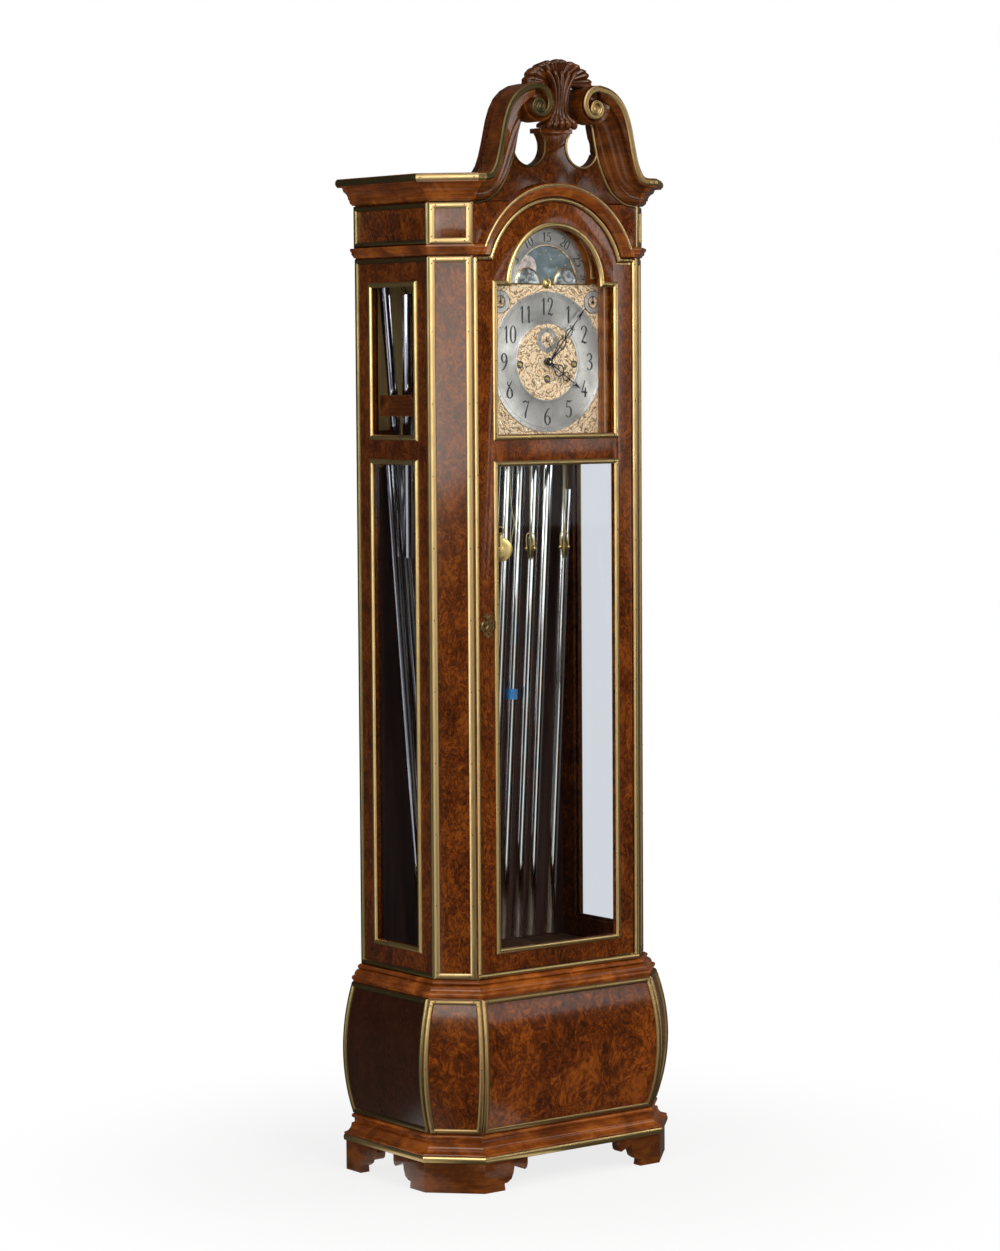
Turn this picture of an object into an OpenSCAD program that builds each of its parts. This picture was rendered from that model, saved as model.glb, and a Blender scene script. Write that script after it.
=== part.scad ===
// Longcase clock with canted corners, a bombe base, a full-length glazed door,
// a swan-neck pediment and a three-train movement with moon dial and chime tubes.
// Millimetres. The clock stands on z = 0, faces -Y, and its origin is under its middle.

/* [Case] */
// Width across the front between the canted corners
front_w = 440; // [420:1:470]
// How far each front corner is cut back, both ways
cant = 65; // [60:1:75]
// Depth from the front strips to the back
case_d = 336; // [326:1:370]
// Height of the trunk, from the waist moulding to the mid moulding
trunk_h = 1520; // [1500:1:1560]
// Thickness of the trunk boards
board_t = 18; // [14:1:22]
// Width of the brass strips
strip_w = 12; // [8:1:14]
// Thickness of the brass strips
strip_t = 3; // [2:0.5:4]

/* [Base] */
// Height of the bracket feet
foot_h = 64; // [50:1:80]
// Thickness of the bracket feet
foot_t = 24; // [18:1:30]
// Height of the plinth moulding
plinth_h = 57; // [50:1:70]
// How far the plinth stands out from the front strips
plinth_out = 50; // [46:1:60]
// Height of the bulging base
base_h = 288; // [260:1:330]
// How far the base bulges beyond its own edges
bulge = 26; // [10:1:28]
// Height of the waist moulding with its top fillet
waist_h = 36; // [30:1:44]

/* [Door] */
// Width of the case front left on each side of the door
post_w = 12; // [8:1:20]
// Thickness of the door
door_t = 16; // [15:1:16]
// Radius of the door's arched top
arch_r = 174; // [168:1:174]
// How far the arch's centre lies below the trunk's top
arch_drop = 60; // [55:1:65]
// Width of the glazed openings
glass_w = 314; // [300:1:318]
// Thickness of the glass
glass_t = 3; // [2:0.5:4]
// Gap round the door
door_gap = 1; // [0.8:0.1:1.5]
// How far the lock bolt is thrown
bolt_throw = 6; // [3:0.5:7]

/* [Dial] */
// Radius of the chapter ring
chapter_r = 148.7; // [140:0.5:150]
// How far the hands' arbor lies below the arch's centre
dial_drop = 161.6; // [158:0.1:165]
// Radius of the silvered ring in the arch
moon_ring_r = 118; // [110:1:118]
// Height of the moon disc's pivot above the arch's centre
moon_rise = 4; // [2:1:6]
// Length of the minute hand
minute_len = 147; // [120:1:150]
// Length of the hour hand
hour_len = 102; // [80:1:110]

/* [Movement] */
// Tooth size of the wheels, as a gear module
tooth_m = 0.5; // [0.45:0.01:0.52]
// Radius of the winding drums
drum_r = 22; // [16:0.5:24]
// Radius of the pulley sheaves
sheave_r = 26; // [20:0.5:30]
// How far the pulley axles hang below the hands' arbor
pulley_drop = 398.4; // [350:1:600]
// Outer radius of the chime tubes
tube_r = 12.5; // [8:0.5:13]

/* [Pediment] */
// Height of the frieze between the mid moulding and the cornice
frieze_h = 90; // [80:1:110]
// Height of the cornice
cornice_h = 55; // [50:1:66]
// How far the cornice stands out from the front strips
cornice_out = 44; // [40:1:48]
// Thickness of the pediment board
pediment_t = 23; // [18:1:26]

/* [Hidden] */
$fn = 48;

// Case frame: y = 0 is the outer face of the front strips, z = 0 the underside of the trunk
arris_x = front_w / 2;
side_x = arris_x + cant;
mitre = tan(22.5);
front_y = (plinth_out - case_d) / 2;
base_z = foot_h + plinth_h;
waist_z = base_z + base_h;
trunk_z = waist_z + waist_h;
wood = -strip_t;
inner = wood - board_t;
inner_x = side_x + inner;
floor_t = strip_w;
back_t = 12;
back_y = case_d - back_t;
far = 900;
moulding_gap = 2;
arch_z = trunk_h - arch_drop;
dial_z = arch_z - dial_drop;
moon_z = arch_z + moon_rise;
pulley_z = dial_z - pulley_drop;
door_w = front_w - 2 * (post_w + door_gap);
mid_h = 20;
mid_z = trunk_h + moulding_gap;
frieze_z = mid_z + mid_h;
cornice_z = frieze_z + frieze_h + 1;
top_z = cornice_z + cornice_h;
run = 0.05;

// Outline of the case in plan, moved outwards by d
function front_arris(d) = [arris_x + mitre * d, -d];
function side_arris(d) = [side_x + d, cant - mitre * d];
function flip(p) = [-p[0], p[1]];
function plan(d) = [[-side_x - d, case_d], flip(side_arris(d)), flip(front_arris(d)),
    front_arris(d), side_arris(d), [side_x + d, case_d]];
function arc(cx, cy, r, a0, a1, n) =
    [for (i = [0:n]) let (a = a0 + (a1 - a0) * i / n) [cx + r * cos(a), cy + r * sin(a)]];
function mix(p, q, k) = p + (q - p) * k;
function backwards(list) = [for (i = [len(list) - 1:-1:0]) list[i]];

// Places a shape in the case frame
module in_case() translate([0, front_y, trunk_z]) children();
// A flat outline in x and z, given thickness from y0 back to y1
module slab(y0, y1) translate([0, y1, 0]) rotate([90, 0, 0]) linear_extrude(y1 - y0) children();
module rod(x, z, y0, y1, r) slab(y0, y1) translate([x, z]) circle(r);
module box(low, high) translate(low) cube(high - low);
module both_sides() { children(); mirror([1, 0, 0]) children(); }
module prism(d, z0, z1) translate([0, 0, z0]) linear_extrude(z1 - z0) polygon(plan(d));

// One long bar of a moulding whose profile is a list of [outward offset, height]
module face_bar(profile, turn, reach) {
    low = profile[0][1];
    high = profile[len(profile) - 1][1];
    rotate([0, 0, turn]) translate([reach, 0, 0]) rotate([90, 0, 0])
        linear_extrude(2 * far, center = true)
            polygon(concat([[-far, low]], profile, [[-far, high]]));
}
// A solid with the moulding run round the front, the canted corners and the sides
module moulded(profile) {
    intersection() {
        face_bar(profile, -90, 0);
        face_bar(profile, -45, arris_x / sqrt(2));
        face_bar(profile, -135, arris_x / sqrt(2));
        face_bar(profile, 0, side_x);
        face_bar(profile, 180, side_x);
        box([-far, -far, -far], [far, case_d, 2 * trunk_h]);
    }
}
module moulded_ring(profile, inside) {
    difference() {
        moulded(profile);
        prism(inside, profile[0][1] - 1, profile[len(profile) - 1][1] + 1);
    }
}

// Bracket foot's edge: distance in from its corner, and height
foot_out = plinth_out - 6;
foot_edge = [[54, 0], [52, 15], [60, 16], [71, 23], [76, 35], [79, 50], [95, 43], [107, 38],
    [112, 42], [114, 50]];
foot_scale = foot_h / 64;
module foot_void(corner_a, corner_b) {
    left = [for (p = foot_edge) [corner_a + p[0], p[1] * foot_scale]];
    right = [for (p = foot_edge) [corner_b - p[0], p[1] * foot_scale]];
    tip = foot_edge[len(foot_edge) - 1][0];
    polygon(concat([[corner_a + foot_edge[0][0], -1]], left, [[corner_a + tip, foot_h + 1],
        [corner_b - tip, foot_h + 1]], backwards(right), [[corner_b - foot_edge[0][0], -1]]));
}
module feet() {
    front_corner = front_arris(foot_out)[0];
    side_corner = side_arris(foot_out)[1];
    color("saddlebrown") translate([0, front_y, 0]) difference() {
        prism(foot_out, 0, foot_h);
        prism(foot_out - foot_t, -1, foot_h + 1);
        slab(-far, case_d) foot_void(-front_corner, front_corner);
        rotate([0, 0, 90]) slab(-far, far) foot_void(side_corner, case_d);
    }
}

// Plinth moulding: fascia behind a strip, cove, neck and bead
function plinth_profile() = let (z = foot_h, out = plinth_out) concat(
    [[out - strip_t, z], [out - strip_t, z + 15], [out - 1, z + 15], [out - 1, z + 19]],
    arc(out - 4, z + 36, 17, -90, -180, 6),
    [[21, z + 36], [21, z + 44]], arc(24, z + 51.5, 4.5, -90, 90, 6),
    [[22, z + 56], [22, z + plinth_h]]);
module plinth_moulding() {
    color("saddlebrown") translate([0, front_y, 0]) moulded_ring(plinth_profile(), -10);
}

// Bombe base: every face swells outwards in one arc between its top and bottom edges
base_edge = 22;
base_arc_r = (base_h * base_h / 4 + bulge * bulge) / (2 * bulge);
base_arc_a = asin(base_h / 2 / base_arc_r);
function base_profile(out) = arc(base_edge + out + bulge - base_arc_r, base_z + base_h / 2,
    base_arc_r, -base_arc_a, base_arc_a, 18);
module base_shell() {
    color("sienna") translate([0, front_y, 0]) moulded_ring(base_profile(0), 2);
}
// Strips on the base: round each panel of the front, the canted corners and the sides
module base_trim() {
    color("gold") translate([0, front_y, 0]) difference() {
        moulded_ring(base_profile(plinth_out - base_edge - bulge), base_edge - 4);
        moulded(base_profile(0));
        difference() {
            prism(far / 4, base_z + strip_w, waist_z - strip_w);
            both_sides() edge_post(base_edge + bulge / 2);
        }
        box([-far, case_d - 0.5, 0], [far, far, far]);
    }
}
// Uprights that keep the strips beside each arris and at the back edge
module edge_post(d) {
    corner_a = front_arris(d);
    corner_b = side_arris(d);
    reach = 60;
    translate([0, 0, base_z]) linear_extrude(base_h) {
        polygon([corner_a + [-strip_w, 0], corner_a + [-strip_w, -reach], corner_a + [reach, -reach],
            corner_a + [strip_w, strip_w], corner_a + [0, strip_w]]);
        polygon([corner_b + [0, strip_w], corner_b + [reach, strip_w], corner_b + [reach, -reach],
            corner_b + [-strip_w, -strip_w], corner_b + [-strip_w, 0]]);
        polygon([[corner_b[0] - strip_w, case_d - strip_w], [far, case_d - strip_w],
            [far, case_d], [corner_b[0] - strip_w, case_d]]);
    }
}

// Waist moulding: torus, fillet, cyma and bead
function waist_profile() = let (z = waist_z) concat([[21, z]],
    arc(20, z + 8, 5, -70, 70, 6), [[20, z + 13]], arc(5, z + 13, 13, 0, 70, 5),
    [[5, z + 26.5]], arc(5, z + 30.5, 4, -80, 80, 5), [[4, z + waist_h]]);
module waist_moulding() {
    color("saddlebrown") translate([0, front_y, 0]) moulded_ring(waist_profile(), -20);
}
// Boards that close the base and the trunk
module case_floors() {
    color("burlywood") translate([0, front_y, 0]) prism(2, base_z, base_z + floor_t);
    color("saddlebrown") in_case() prism(wood, 0, floor_t);
}

// Side windows, the same on both sides: depth range, and two heights
window_front = 113.5;
window_back = case_d - 47.7;
windows = [[49.5, dial_z - 203], [dial_z - 164, trunk_h - 51]];
module window_holes(inset) {
    for (w = windows)
        box([-far, window_front + inset, w[0] + inset], [far, window_back - inset, w[1] - inset]);
}
post_end = cant + 20;
module side_board() {
    difference() {
        box([inner_x, post_end, floor_t], [side_x + wood, back_y, trunk_h]);
        window_holes(strip_w);
        intersection() {
            window_holes(strip_w - 5);
            box([inner_x - 1, 0, 0], [inner_x + board_t / 2, case_d, trunk_h]);
        }
    }
}
module side_panel_right() { color("sienna") in_case() side_board(); }
module side_panel_left() { color("sienna") in_case() mirror([1, 0, 0]) side_board(); }
module side_panes() {
    color("lightcyan", 0.4) in_case() both_sides() intersection() {
        window_holes(strip_w - 5);
        box([inner_x + board_t / 2 - glass_t, 0, 0], [inner_x + board_t / 2, case_d, trunk_h]);
    }
}

// Canted corner posts between the door and the sides, with the lock's mortise on the left
post_x = door_w / 2 + door_gap;
function post_plan() = [[post_x, strip_t], front_arris(wood), side_arris(wood),
    [side_x + wood, post_end], [inner_x, post_end], side_arris(inner), front_arris(inner),
    [post_x, strip_t + board_t]];
lock_z = trunk_h * 0.492;
bolt_h = 20;
bolt_y = 11;
bolt_t = 4;
module corner_posts() {
    color("sienna") in_case() difference() {
        both_sides() translate([0, 0, floor_t]) linear_extrude(trunk_h - floor_t)
            polygon(post_plan());
        box([-post_x - bolt_throw - 1, bolt_y - 0.5, lock_z - bolt_h / 2 - 0.5],
            [-post_x + 1, bolt_y + bolt_t + 0.5, lock_z + bolt_h / 2 + 0.5]);
    }
}
module back_panel() {
    color("burlywood") in_case()
        box([-side_x - wood, back_y, floor_t], [side_x + wood, case_d, top_z - floor_t]);
    color("burlywood") translate([0, front_y, 0]) {
        box([-side_x - 2, back_y, base_z + floor_t], [side_x + 2, case_d, waist_z]);
        box([20 - side_x, back_y, waist_z], [side_x - 20, case_d, trunk_z]);
    }
}

// A strip's outline as a frame round a rectangle in y and z, standing on a side face
module side_frame(y0, y1, z0, z1) {
    difference() {
        box([side_x + wood, y0, z0], [side_x, y1, z1]);
        box([side_x + wood - 1, y0 + strip_w, z0 + strip_w],
            [side_x + 1, y1 - strip_w, z1 - strip_w]);
    }
}
// The same on a canted face, along its own width
module cant_frame(d, z0, z1) {
    w = norm(side_arris(d) - front_arris(d)) / 2;
    translate([arris_x + cant / 2, cant / 2, 0]) rotate([0, 0, 45]) difference() {
        box([-w, -d, z0], [w, -d + strip_t, z1]);
        box([-w + strip_w, -d - 1, z0 + strip_w], [w - strip_w, -d + strip_t + 1, z1 - strip_w]);
    }
}
frieze_out = 2;
hood_y = 1;
module case_trim() {
    color("gold") in_case() {
        both_sides() {
            cant_frame(0, 0, trunk_h);
            box([post_x, 0, floor_t], [arris_x - 1.5, strip_t, trunk_h]);
            side_frame(cant + 1.5, case_d, 0, trunk_h);
            for (w = windows) side_frame(window_front, window_back, w[0], w[1]);
            cant_frame(frieze_out, frieze_z + 0.5, cornice_z - 1.5);
            translate([frieze_out, 0, 0])
                side_frame(cant + 2, case_d, frieze_z + 0.5, cornice_z - 1.5);
            intersection() {
                cant_strip(cornice_out + strip_t, top_z - 17, top_z);
                box([0, -far, 0], [far, case_d, far * 2]);
            }
        }
        box([1.5 - arris_x, 0, 0], [arris_x - 1.5, strip_t, floor_t]);
        arch_strip();
    }
    color("gold") translate([0, front_y, 0]) difference() {
        prism(plinth_out, foot_h + 0.5, foot_h + 14.5);
        prism(plinth_out - strip_t, foot_h, foot_h + 15);
    }
}
// Facing strip round the cornice's fascia, from the swan neck to the back
module cant_strip(d, z0, z1) {
    difference() {
        prism(d, z0, z1);
        prism(d - strip_t, z0 - 1, z1 + 1);
        box([-neck_x, -far, z0 - 1], [neck_x, far, z1 + 1]);
    }
}
// Strip round the head of the door, level at the shoulders and arched between them
shoulder_z = trunk_h - 12;
module arch_strip() {
    slab(0, strip_t) difference() {
        union() {
            translate([0, arch_z]) circle(arch_r + strip_w);
            translate([-post_x, shoulder_z + door_gap]) square([2 * post_x, strip_w - 1]);
        }
        translate([0, arch_z]) circle(arch_r + door_gap);
        translate([-far / 2, -1]) square([far, shoulder_z + door_gap + 1]);
    }
}

// Mid moulding, which rises over the door in an arch
function mid_profile() = [[2, mid_z], [7, mid_z + 6], [8, mid_z + 11.5], [11, mid_z + 14],
    [11, mid_z + mid_h]];
mid_arch_in = arch_r + 13;
mid_arch_out = mid_arch_in + 27;
module mid_moulding() {
    color("saddlebrown") in_case() {
        difference() {
            moulded_ring(mid_profile(), -1);
            slab(-far, case_d - 1) translate([0, arch_z]) circle(mid_arch_out - 1);
        }
        difference() {
            translate([0, 0, arch_z]) rotate([90, 0, 0]) rotate_extrude($fn = 96) polygon([
                [mid_arch_in, -1], [mid_arch_in, 2], [mid_arch_in + 6, 7], [mid_arch_in + 11, 8],
                [mid_arch_in + 14, 11], [mid_arch_out, 11], [mid_arch_out, -1]]);
            box([-far, -far, -1], [far, far, mid_z]);
        }
    }
}

// Frieze: the band above the trunk and the board over the door
module frieze() {
    color("sienna") in_case() difference() {
        union() {
            prism(-hood_y, trunk_h, cornice_z - 1);
            box([-post_x, strip_t, shoulder_z + door_gap], [post_x, strip_t + board_t, trunk_h]);
        }
        prism(inner, trunk_h - 1, cornice_z);
        slab(-1, strip_t + board_t + 10) translate([0, arch_z]) circle(arch_r + door_gap);
        slab(-1, strip_t) translate([0, arch_z]) circle(arch_r + strip_w);
        box([-far, back_y, 0], [far, far, cornice_z]);
    }
}

// Cornice: ovolo, cove and an overhanging fascia, stopped on each side of the pediment
neck_x = 218;
function cornice_profile() = let (z = cornice_z, out = cornice_out) concat(
    [[4, z]], arc(4, z + 10, 8, -60, 0, 4), [[12, z + 12], [15, z + 12]],
    arc(out - 12, z + 12, 17, 180, 110, 5), [[out - 14, z + 37], [out, z + 37], [out, z + cornice_h]]);
module cornice_moulding() {
    color("saddlebrown") in_case() difference() {
        moulded_ring(cornice_profile(), inner);
        box([-neck_x, -far, 0], [neck_x, hood_y + pediment_t, 2 * trunk_h]);
        box([-side_x - wood, back_y, 0], [side_x + wood, far, 2 * trunk_h]);
    }
}
module roof_board() {
    color("burlywood") in_case() difference() {
        prism(inner, top_z - floor_t, top_z);
        box([-far, -far, 0], [far, hood_y + pediment_t, 2 * trunk_h]);
    }
}

// Swan-neck pediment, drawn on the right: its outer edge and its lower edge, as
// points over the cornice's top
neck_outer = [[218, 0], [206, 3], [196, 17], [188, 37], [181, 62], [175, 87], [169, 112],
    [160, 137], [148, 158], [130, 175], [108, 186], [84, 191]];
neck_lower = [[216, -56], [185, -50], [158, -33], [146, -20], [138, -8], [131, 5], [124, 20],
    [118, 34], [113, 49], [109, 65], [104, 86], [99, 108]];
scroll_at = [75, 150];
scroll_r = 40;
neck_half = 32;
cap_z = 90;
hole_at = [71, 62];
hole_r = 40;
function neck_band(k) = concat(neck_outer,
    backwards([for (i = [0:len(neck_outer) - 1]) mix(neck_outer[i], neck_lower[i], k)]));
module pediment_half() {
    difference() {
        union() {
            polygon(concat([[0, 1 - cornice_h]], [[neck_x, 1 - cornice_h]], neck_outer,
                [[70, 150], [neck_half + 8, cap_z], [0, cap_z]]));
            translate(scroll_at) circle(scroll_r - 1);
        }
        translate(hole_at) circle(hole_r);
        polygon([[neck_half, hole_at[1]], [neck_half, hole_at[1] + 10], [neck_half + 8, cap_z - 3],
            [neck_half + 8, 140], [scroll_at[0] - 8, 113], [neck_lower[11][0], 113],
            neck_lower[11], neck_lower[10], neck_lower[9], neck_lower[8], hole_at + [8, -8]]);
    }
}
module pediment_board() {
    color("sienna") in_case() difference() {
        slab(hood_y, hood_y + pediment_t) difference() {
            translate([0, top_z]) both_sides() pediment_half();
            translate([0, arch_z]) circle(arch_r + door_gap);
        }
        slab(0, strip_t) translate([0, arch_z]) circle(arch_r + strip_w);
        box([-far, -far, 0], [far, far, cornice_z - 1]);
    }
}
neck_steps = [[0.98, hood_y, 0], [0.86, 0, -7], [0.72, -7, -14], [0.6, -14, -21], [0.5, -21, -27],
    [0.4, -27, -32], [0.26, -32, -42]];
module swan_necks() {
    color("saddlebrown") in_case() both_sides() difference() {
        union() {
            for (s = neck_steps)
                slab(s[2], s[1]) translate([0, top_z]) polygon(neck_band(s[0]));
            slab(-33, hood_y) translate([0, top_z]) translate(scroll_at) circle(scroll_r);
            slab(-40, -33) translate([0, top_z]) translate(scroll_at) circle(scroll_r - 5);
            slab(-46, -40) translate([0, top_z]) translate(scroll_at + [-2, -10]) circle(15);
        }
        slab(-13, hood_y + 1) translate([0, arch_z]) circle(mid_arch_out);
    }
}
cap_w = 86;
cap_h = 10;
cap_back = 34;
module pediment_cap() {
    color("saddlebrown") in_case()
        box([-cap_w / 2, -3, top_z + cap_z], [cap_w / 2, cap_back, top_z + cap_z + cap_h]);
}

// Carved shell: a fluted stem on a flared foot, and a fan of seven lobes
lobe_turns = [-80, -53, -26, 0, 26, 53, 80];
lobe_reach = [79, 64, 48, 42, 48, 64, 79];
lobe_r = 13;
fan_z = 94;
module shell_carving() {
    z = top_z + cap_z + cap_h;
    color("saddlebrown") in_case() {
        slab(-12, 16) translate([0, z]) {
            polygon([[-48, 0], [48, 0], [50, 8], [34, 15], [20, 33], [24, 60], [32, fan_z + 4], [-32, fan_z + 4],
                [-24, 60], [-20, 33], [-34, 15], [-50, 8]]);
            for (i = [0:len(lobe_turns) - 1]) translate([0, fan_z]) rotate(lobe_turns[i]) {
                polygon([[-6, 0], [6, 0], [lobe_r, lobe_reach[i]], [-lobe_r, lobe_reach[i]]]);
                translate([0, lobe_reach[i]]) circle(lobe_r);
            }
        }
        for (x = [-12, 0, 12]) slab(-20, -12) translate([x - 4, z + 4]) square([8, fan_z - 4]);
    }
}

// Door: glazed frame hung on knife pivots at its right edge
door_front = strip_t;
door_back = strip_t + door_t;
pivot_r = 3.5;
pivot_x = door_w / 2 - pivot_r;
pivot_y = door_front + pivot_r;
door_z0 = floor_t + door_gap;
lower_glass = [61, dial_z - 218];
upper_glass = [dial_z - 152, arch_z - 3];
upper_arch_r = arch_r - 54;
upper_arch_z = arch_z + 1;
rebate = 5;
module door_outline() {
    translate([-door_w / 2, door_z0]) square([door_w - pivot_r, shoulder_z - door_z0]);
    intersection() {
        translate([0, arch_z]) circle(arch_r, $fn = 96);
        translate([-arch_r, arch_z]) square([2 * arch_r, arch_r]);
    }
}
module glass_openings(grow) {
    w = glass_w / 2 + grow;
    translate([-w, lower_glass[0] - grow]) square([2 * w, lower_glass[1] - lower_glass[0] + 2 * grow]);
    translate([-w, upper_glass[0] - grow]) square([2 * w, upper_glass[1] - upper_glass[0] + 2 * grow]);
    intersection() {
        translate([0, upper_arch_z]) circle(upper_arch_r + grow, $fn = 96);
        translate([-w, upper_glass[1] - 1]) square([2 * w, 2 * upper_arch_r]);
    }
}
lock_w = 34;
lock_h = 44;
lock_y0 = 9;
lock_y1 = 17;
keyhole_x = 12 - door_w / 2;
plate_l = 40;
plate_t = 2;
// The knife pivot's plate in the door's edge, with its knuckle round the pin
module pivot_plate(z) {
    translate([0, 0, z]) linear_extrude(plate_t) {
        translate([pivot_x - plate_l, door_front + 1.5]) square([plate_l, door_t - 6]);
        translate([pivot_x, pivot_y]) circle(pivot_r - 0.1);
    }
}
module door_frame() {
    color("sienna") in_case() difference() {
        union() {
            slab(door_front, door_back) door_outline();
            box([pivot_x - 1, pivot_y, door_z0], [door_w / 2, door_back, shoulder_z]);
            translate([pivot_x, pivot_y, door_z0]) cylinder(shoulder_z - door_z0, pivot_r, pivot_r);
        }
        slab(door_front - 1, door_back + 1) glass_openings(0);
        slab(door_back - 6, door_back + 1) glass_openings(rebate);
        box([-door_w / 2 - 1, lock_y0, lock_z - lock_h / 2],
            [lock_w - door_w / 2, lock_y1, lock_z + lock_h / 2]);
        rod(keyhole_x, lock_z, door_front - 1, lock_y0 + 1, 3);
        box([pivot_x - plate_l, 0, door_z0 - 1], [door_w, door_back - 3, door_z0 + plate_t]);
        box([pivot_x - plate_l, 0, shoulder_z - plate_t], [door_w, door_back - 3, shoulder_z + 1]);
    }
}
module door_trim() {
    color("gold") in_case() slab(0, door_front) difference() {
        glass_openings(strip_w - 0.5);
        glass_openings(0);
    }
}
module door_panes() {
    color("lightcyan", 0.35) in_case() slab(door_back - 6, door_back - 6 + glass_t) glass_openings(rebate);
}
module door_pivot_plates() {
    color("goldenrod") in_case() for (z = [door_z0, shoulder_z - plate_t]) difference() {
        pivot_plate(z);
        translate([pivot_x, pivot_y, z - 1]) cylinder(plate_t + 2, pin_r + run, pin_r + run);
    }
}
pin_r = 2;
module case_pivots() {
    color("goldenrod") in_case() {
        translate([pivot_x, pivot_y, floor_t]) {
            cylinder(door_gap - 0.2, pivot_r - 0.2, pivot_r - 0.2);
            cylinder(door_gap + plate_t, pin_r, pin_r);
        }
        translate([pivot_x, pivot_y, shoulder_z - plate_t]) {
            cylinder(plate_t + door_gap, pin_r, pin_r);
            translate([0, 0, plate_t + 0.2]) cylinder(door_gap - 0.2, pivot_r - 0.2, pivot_r - 0.2);
        }
    }
}
module door_lock() {
    color("goldenrod") in_case() difference() {
        box([-door_w / 2, lock_y0, lock_z - lock_h / 2],
            [lock_w - door_w / 2, lock_y1, lock_z + lock_h / 2]);
        box([-door_w / 2 - 1, bolt_y - 0.2, lock_z - bolt_h / 2 - 0.2],
            [lock_w - 4 - door_w / 2, bolt_y + bolt_t + 0.2, lock_z + bolt_h / 2 + 0.2]);
        rod(keyhole_x, lock_z, lock_y0 - 1, bolt_y, 3);
    }
}
module lock_bolt() {
    color("goldenrod") in_case() box([-door_w / 2, bolt_y, lock_z - bolt_h / 2],
        [lock_w - 6 - door_w / 2, bolt_y + bolt_t, lock_z + bolt_h / 2]);
}
// Pierced escutcheon round the keyhole
module escutcheon() {
    color("gold") in_case() slab(door_front - 1.8, door_front) translate([keyhole_x + 7.5, lock_z]) difference() {
        union() {
            circle(13);
            for (i = [0:7]) rotate(i * 45 + 22.5) translate([13, 0]) circle(5.3);
            for (t = [90, 270]) rotate(t) translate([20, 0]) circle(6);
        }
        for (i = [0:7]) rotate(i * 45 + 22.5) translate([13.5, 0]) circle(2.8);
        translate([-7.5, 0]) circle(2.6);
        translate([-8.5, -8]) square([2, 8]);
    }
}

// Dial mask: the box-like surround between the door and the dial
mask_front = door_back + 6;
dial_y = 34;
dial_t = 3;
mask_w = 138;
mask_z0 = dial_z - 152;
mask_arch_r = arch_r - 72;
mask_arch_z = arch_z + 20;
module mask_opening(grow) {
    translate([-mask_w - grow, mask_z0 - grow])
        square([2 * (mask_w + grow), moon_z - mask_z0 + 2 * grow]);
    translate([-mask_arch_r - grow, mask_z0]) square([2 * (mask_arch_r + grow), mask_arch_z - mask_z0]);
    translate([0, mask_arch_z]) circle(mask_arch_r + grow, $fn = 96);
}
mask_board_y = strip_t + board_t;
module dial_mask() {
    color("saddlebrown") in_case() difference() {
        union() {
            slab(mask_front, dial_y) mask_opening(12);
            box([-post_x - 3, mask_board_y, mask_z0 - 26],
                [post_x + 3, mask_board_y + 8, mask_arch_z + mask_arch_r + 18]);
        }
        slab(0, mask_front) mask_opening(15);
        slab(0, dial_y + 1) mask_opening(0);
        slab(dial_y - ring_t - 0.1, dial_y + 1) {
            translate([-mask_w - 12, mask_z0]) square([2 * (mask_w + 12), moon_z - mask_z0]);
            translate([0, moon_z]) circle(moon_ring_r + 0.5);
        }
    }
}

// Dial: gilt plate with its arch cut open for the moon
seconds_z = dial_z + 46.5;
hump_x = 52;
hump_r = 33;
window_r = 80;
boss_r = 10.6;
wind_x = 72.7;
wind_z = dial_z - 5.4;
going_z = dial_z - 36;
selector_x = 124.4;
selector_z = moon_z - 39;
plate_x = 152;
square_r = 3.6;
wind_hole_r = 5.5;
winding = [[-wind_x, wind_z], [0, going_z], [wind_x, wind_z]];
module dial_plate() {
    color("khaki") in_case() {
        slab(dial_y, dial_y + dial_t) difference() {
            union() {
                translate([-plate_x, mask_z0 - 12])
                    square([2 * plate_x, moon_z - mask_z0 + 12]);
                translate([0, moon_z]) circle(moon_ring_r + 4, $fn = 96);
            }
            difference() {
                translate([0, moon_z]) circle(window_r);
                translate([-far / 2, moon_z - far]) square([far, far]);
                for (x = [-hump_x, hump_x]) translate([x, moon_z]) circle(hump_r);
                translate([0, moon_z]) circle(boss_r);
            }
            for (p = winding) translate(p) circle(wind_hole_r);
            translate([0, dial_z]) circle(8);
            translate([0, seconds_z]) circle(3);
            for (x = [-selector_x, selector_x]) translate([x, selector_z]) circle(1.5 + run);
        }
        rod(0, moon_z, dial_y + dial_t, dial_y + dial_t + 5, 2);
        rod(0, moon_z, dial_y + dial_t + 3.5, dial_y + dial_t + 5, 5);
        intersection() {
            for (x = [-hump_x, hump_x]) rod(x, moon_z, dial_y - 1, dial_y, hump_r - 1);
            box([-far, 0, moon_z], [far, dial_y, 2 * far]);
        }
        rod(0, moon_z, dial_y - 1.5, dial_y, boss_r);
    }
}
ring_t = 1;
module flat_ring(x, z, r_out, r_in) {
    slab(dial_y - ring_t, dial_y) translate([x, z]) difference() {
        circle(r_out, $fn = 96);
        circle(r_in, $fn = 96);
    }
}
module silvered_rings() {
    color("silver") in_case() {
        difference() {
            flat_ring(0, dial_z, chapter_r, 81.2);
            for (p = winding) rod(p[0], p[1], 0, dial_y + 1, wind_hole_r);
            for (x = [-1, 1]) rod(x * selector_x, selector_z, 0, dial_y + 1, 25);
        }
        flat_ring(0, seconds_z, 26.5, 16);
        for (x = [-1, 1]) flat_ring(x * selector_x, selector_z, 24, 12);
        difference() {
            flat_ring(0, moon_z, moon_ring_r, 81.7);
            box([-far, 0, 0], [far, dial_y + 1, moon_z + 1]);
            for (x = [-hump_x, hump_x]) rod(x, moon_z, 0, dial_y + 1, hump_r);
        }
    }
}
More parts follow.
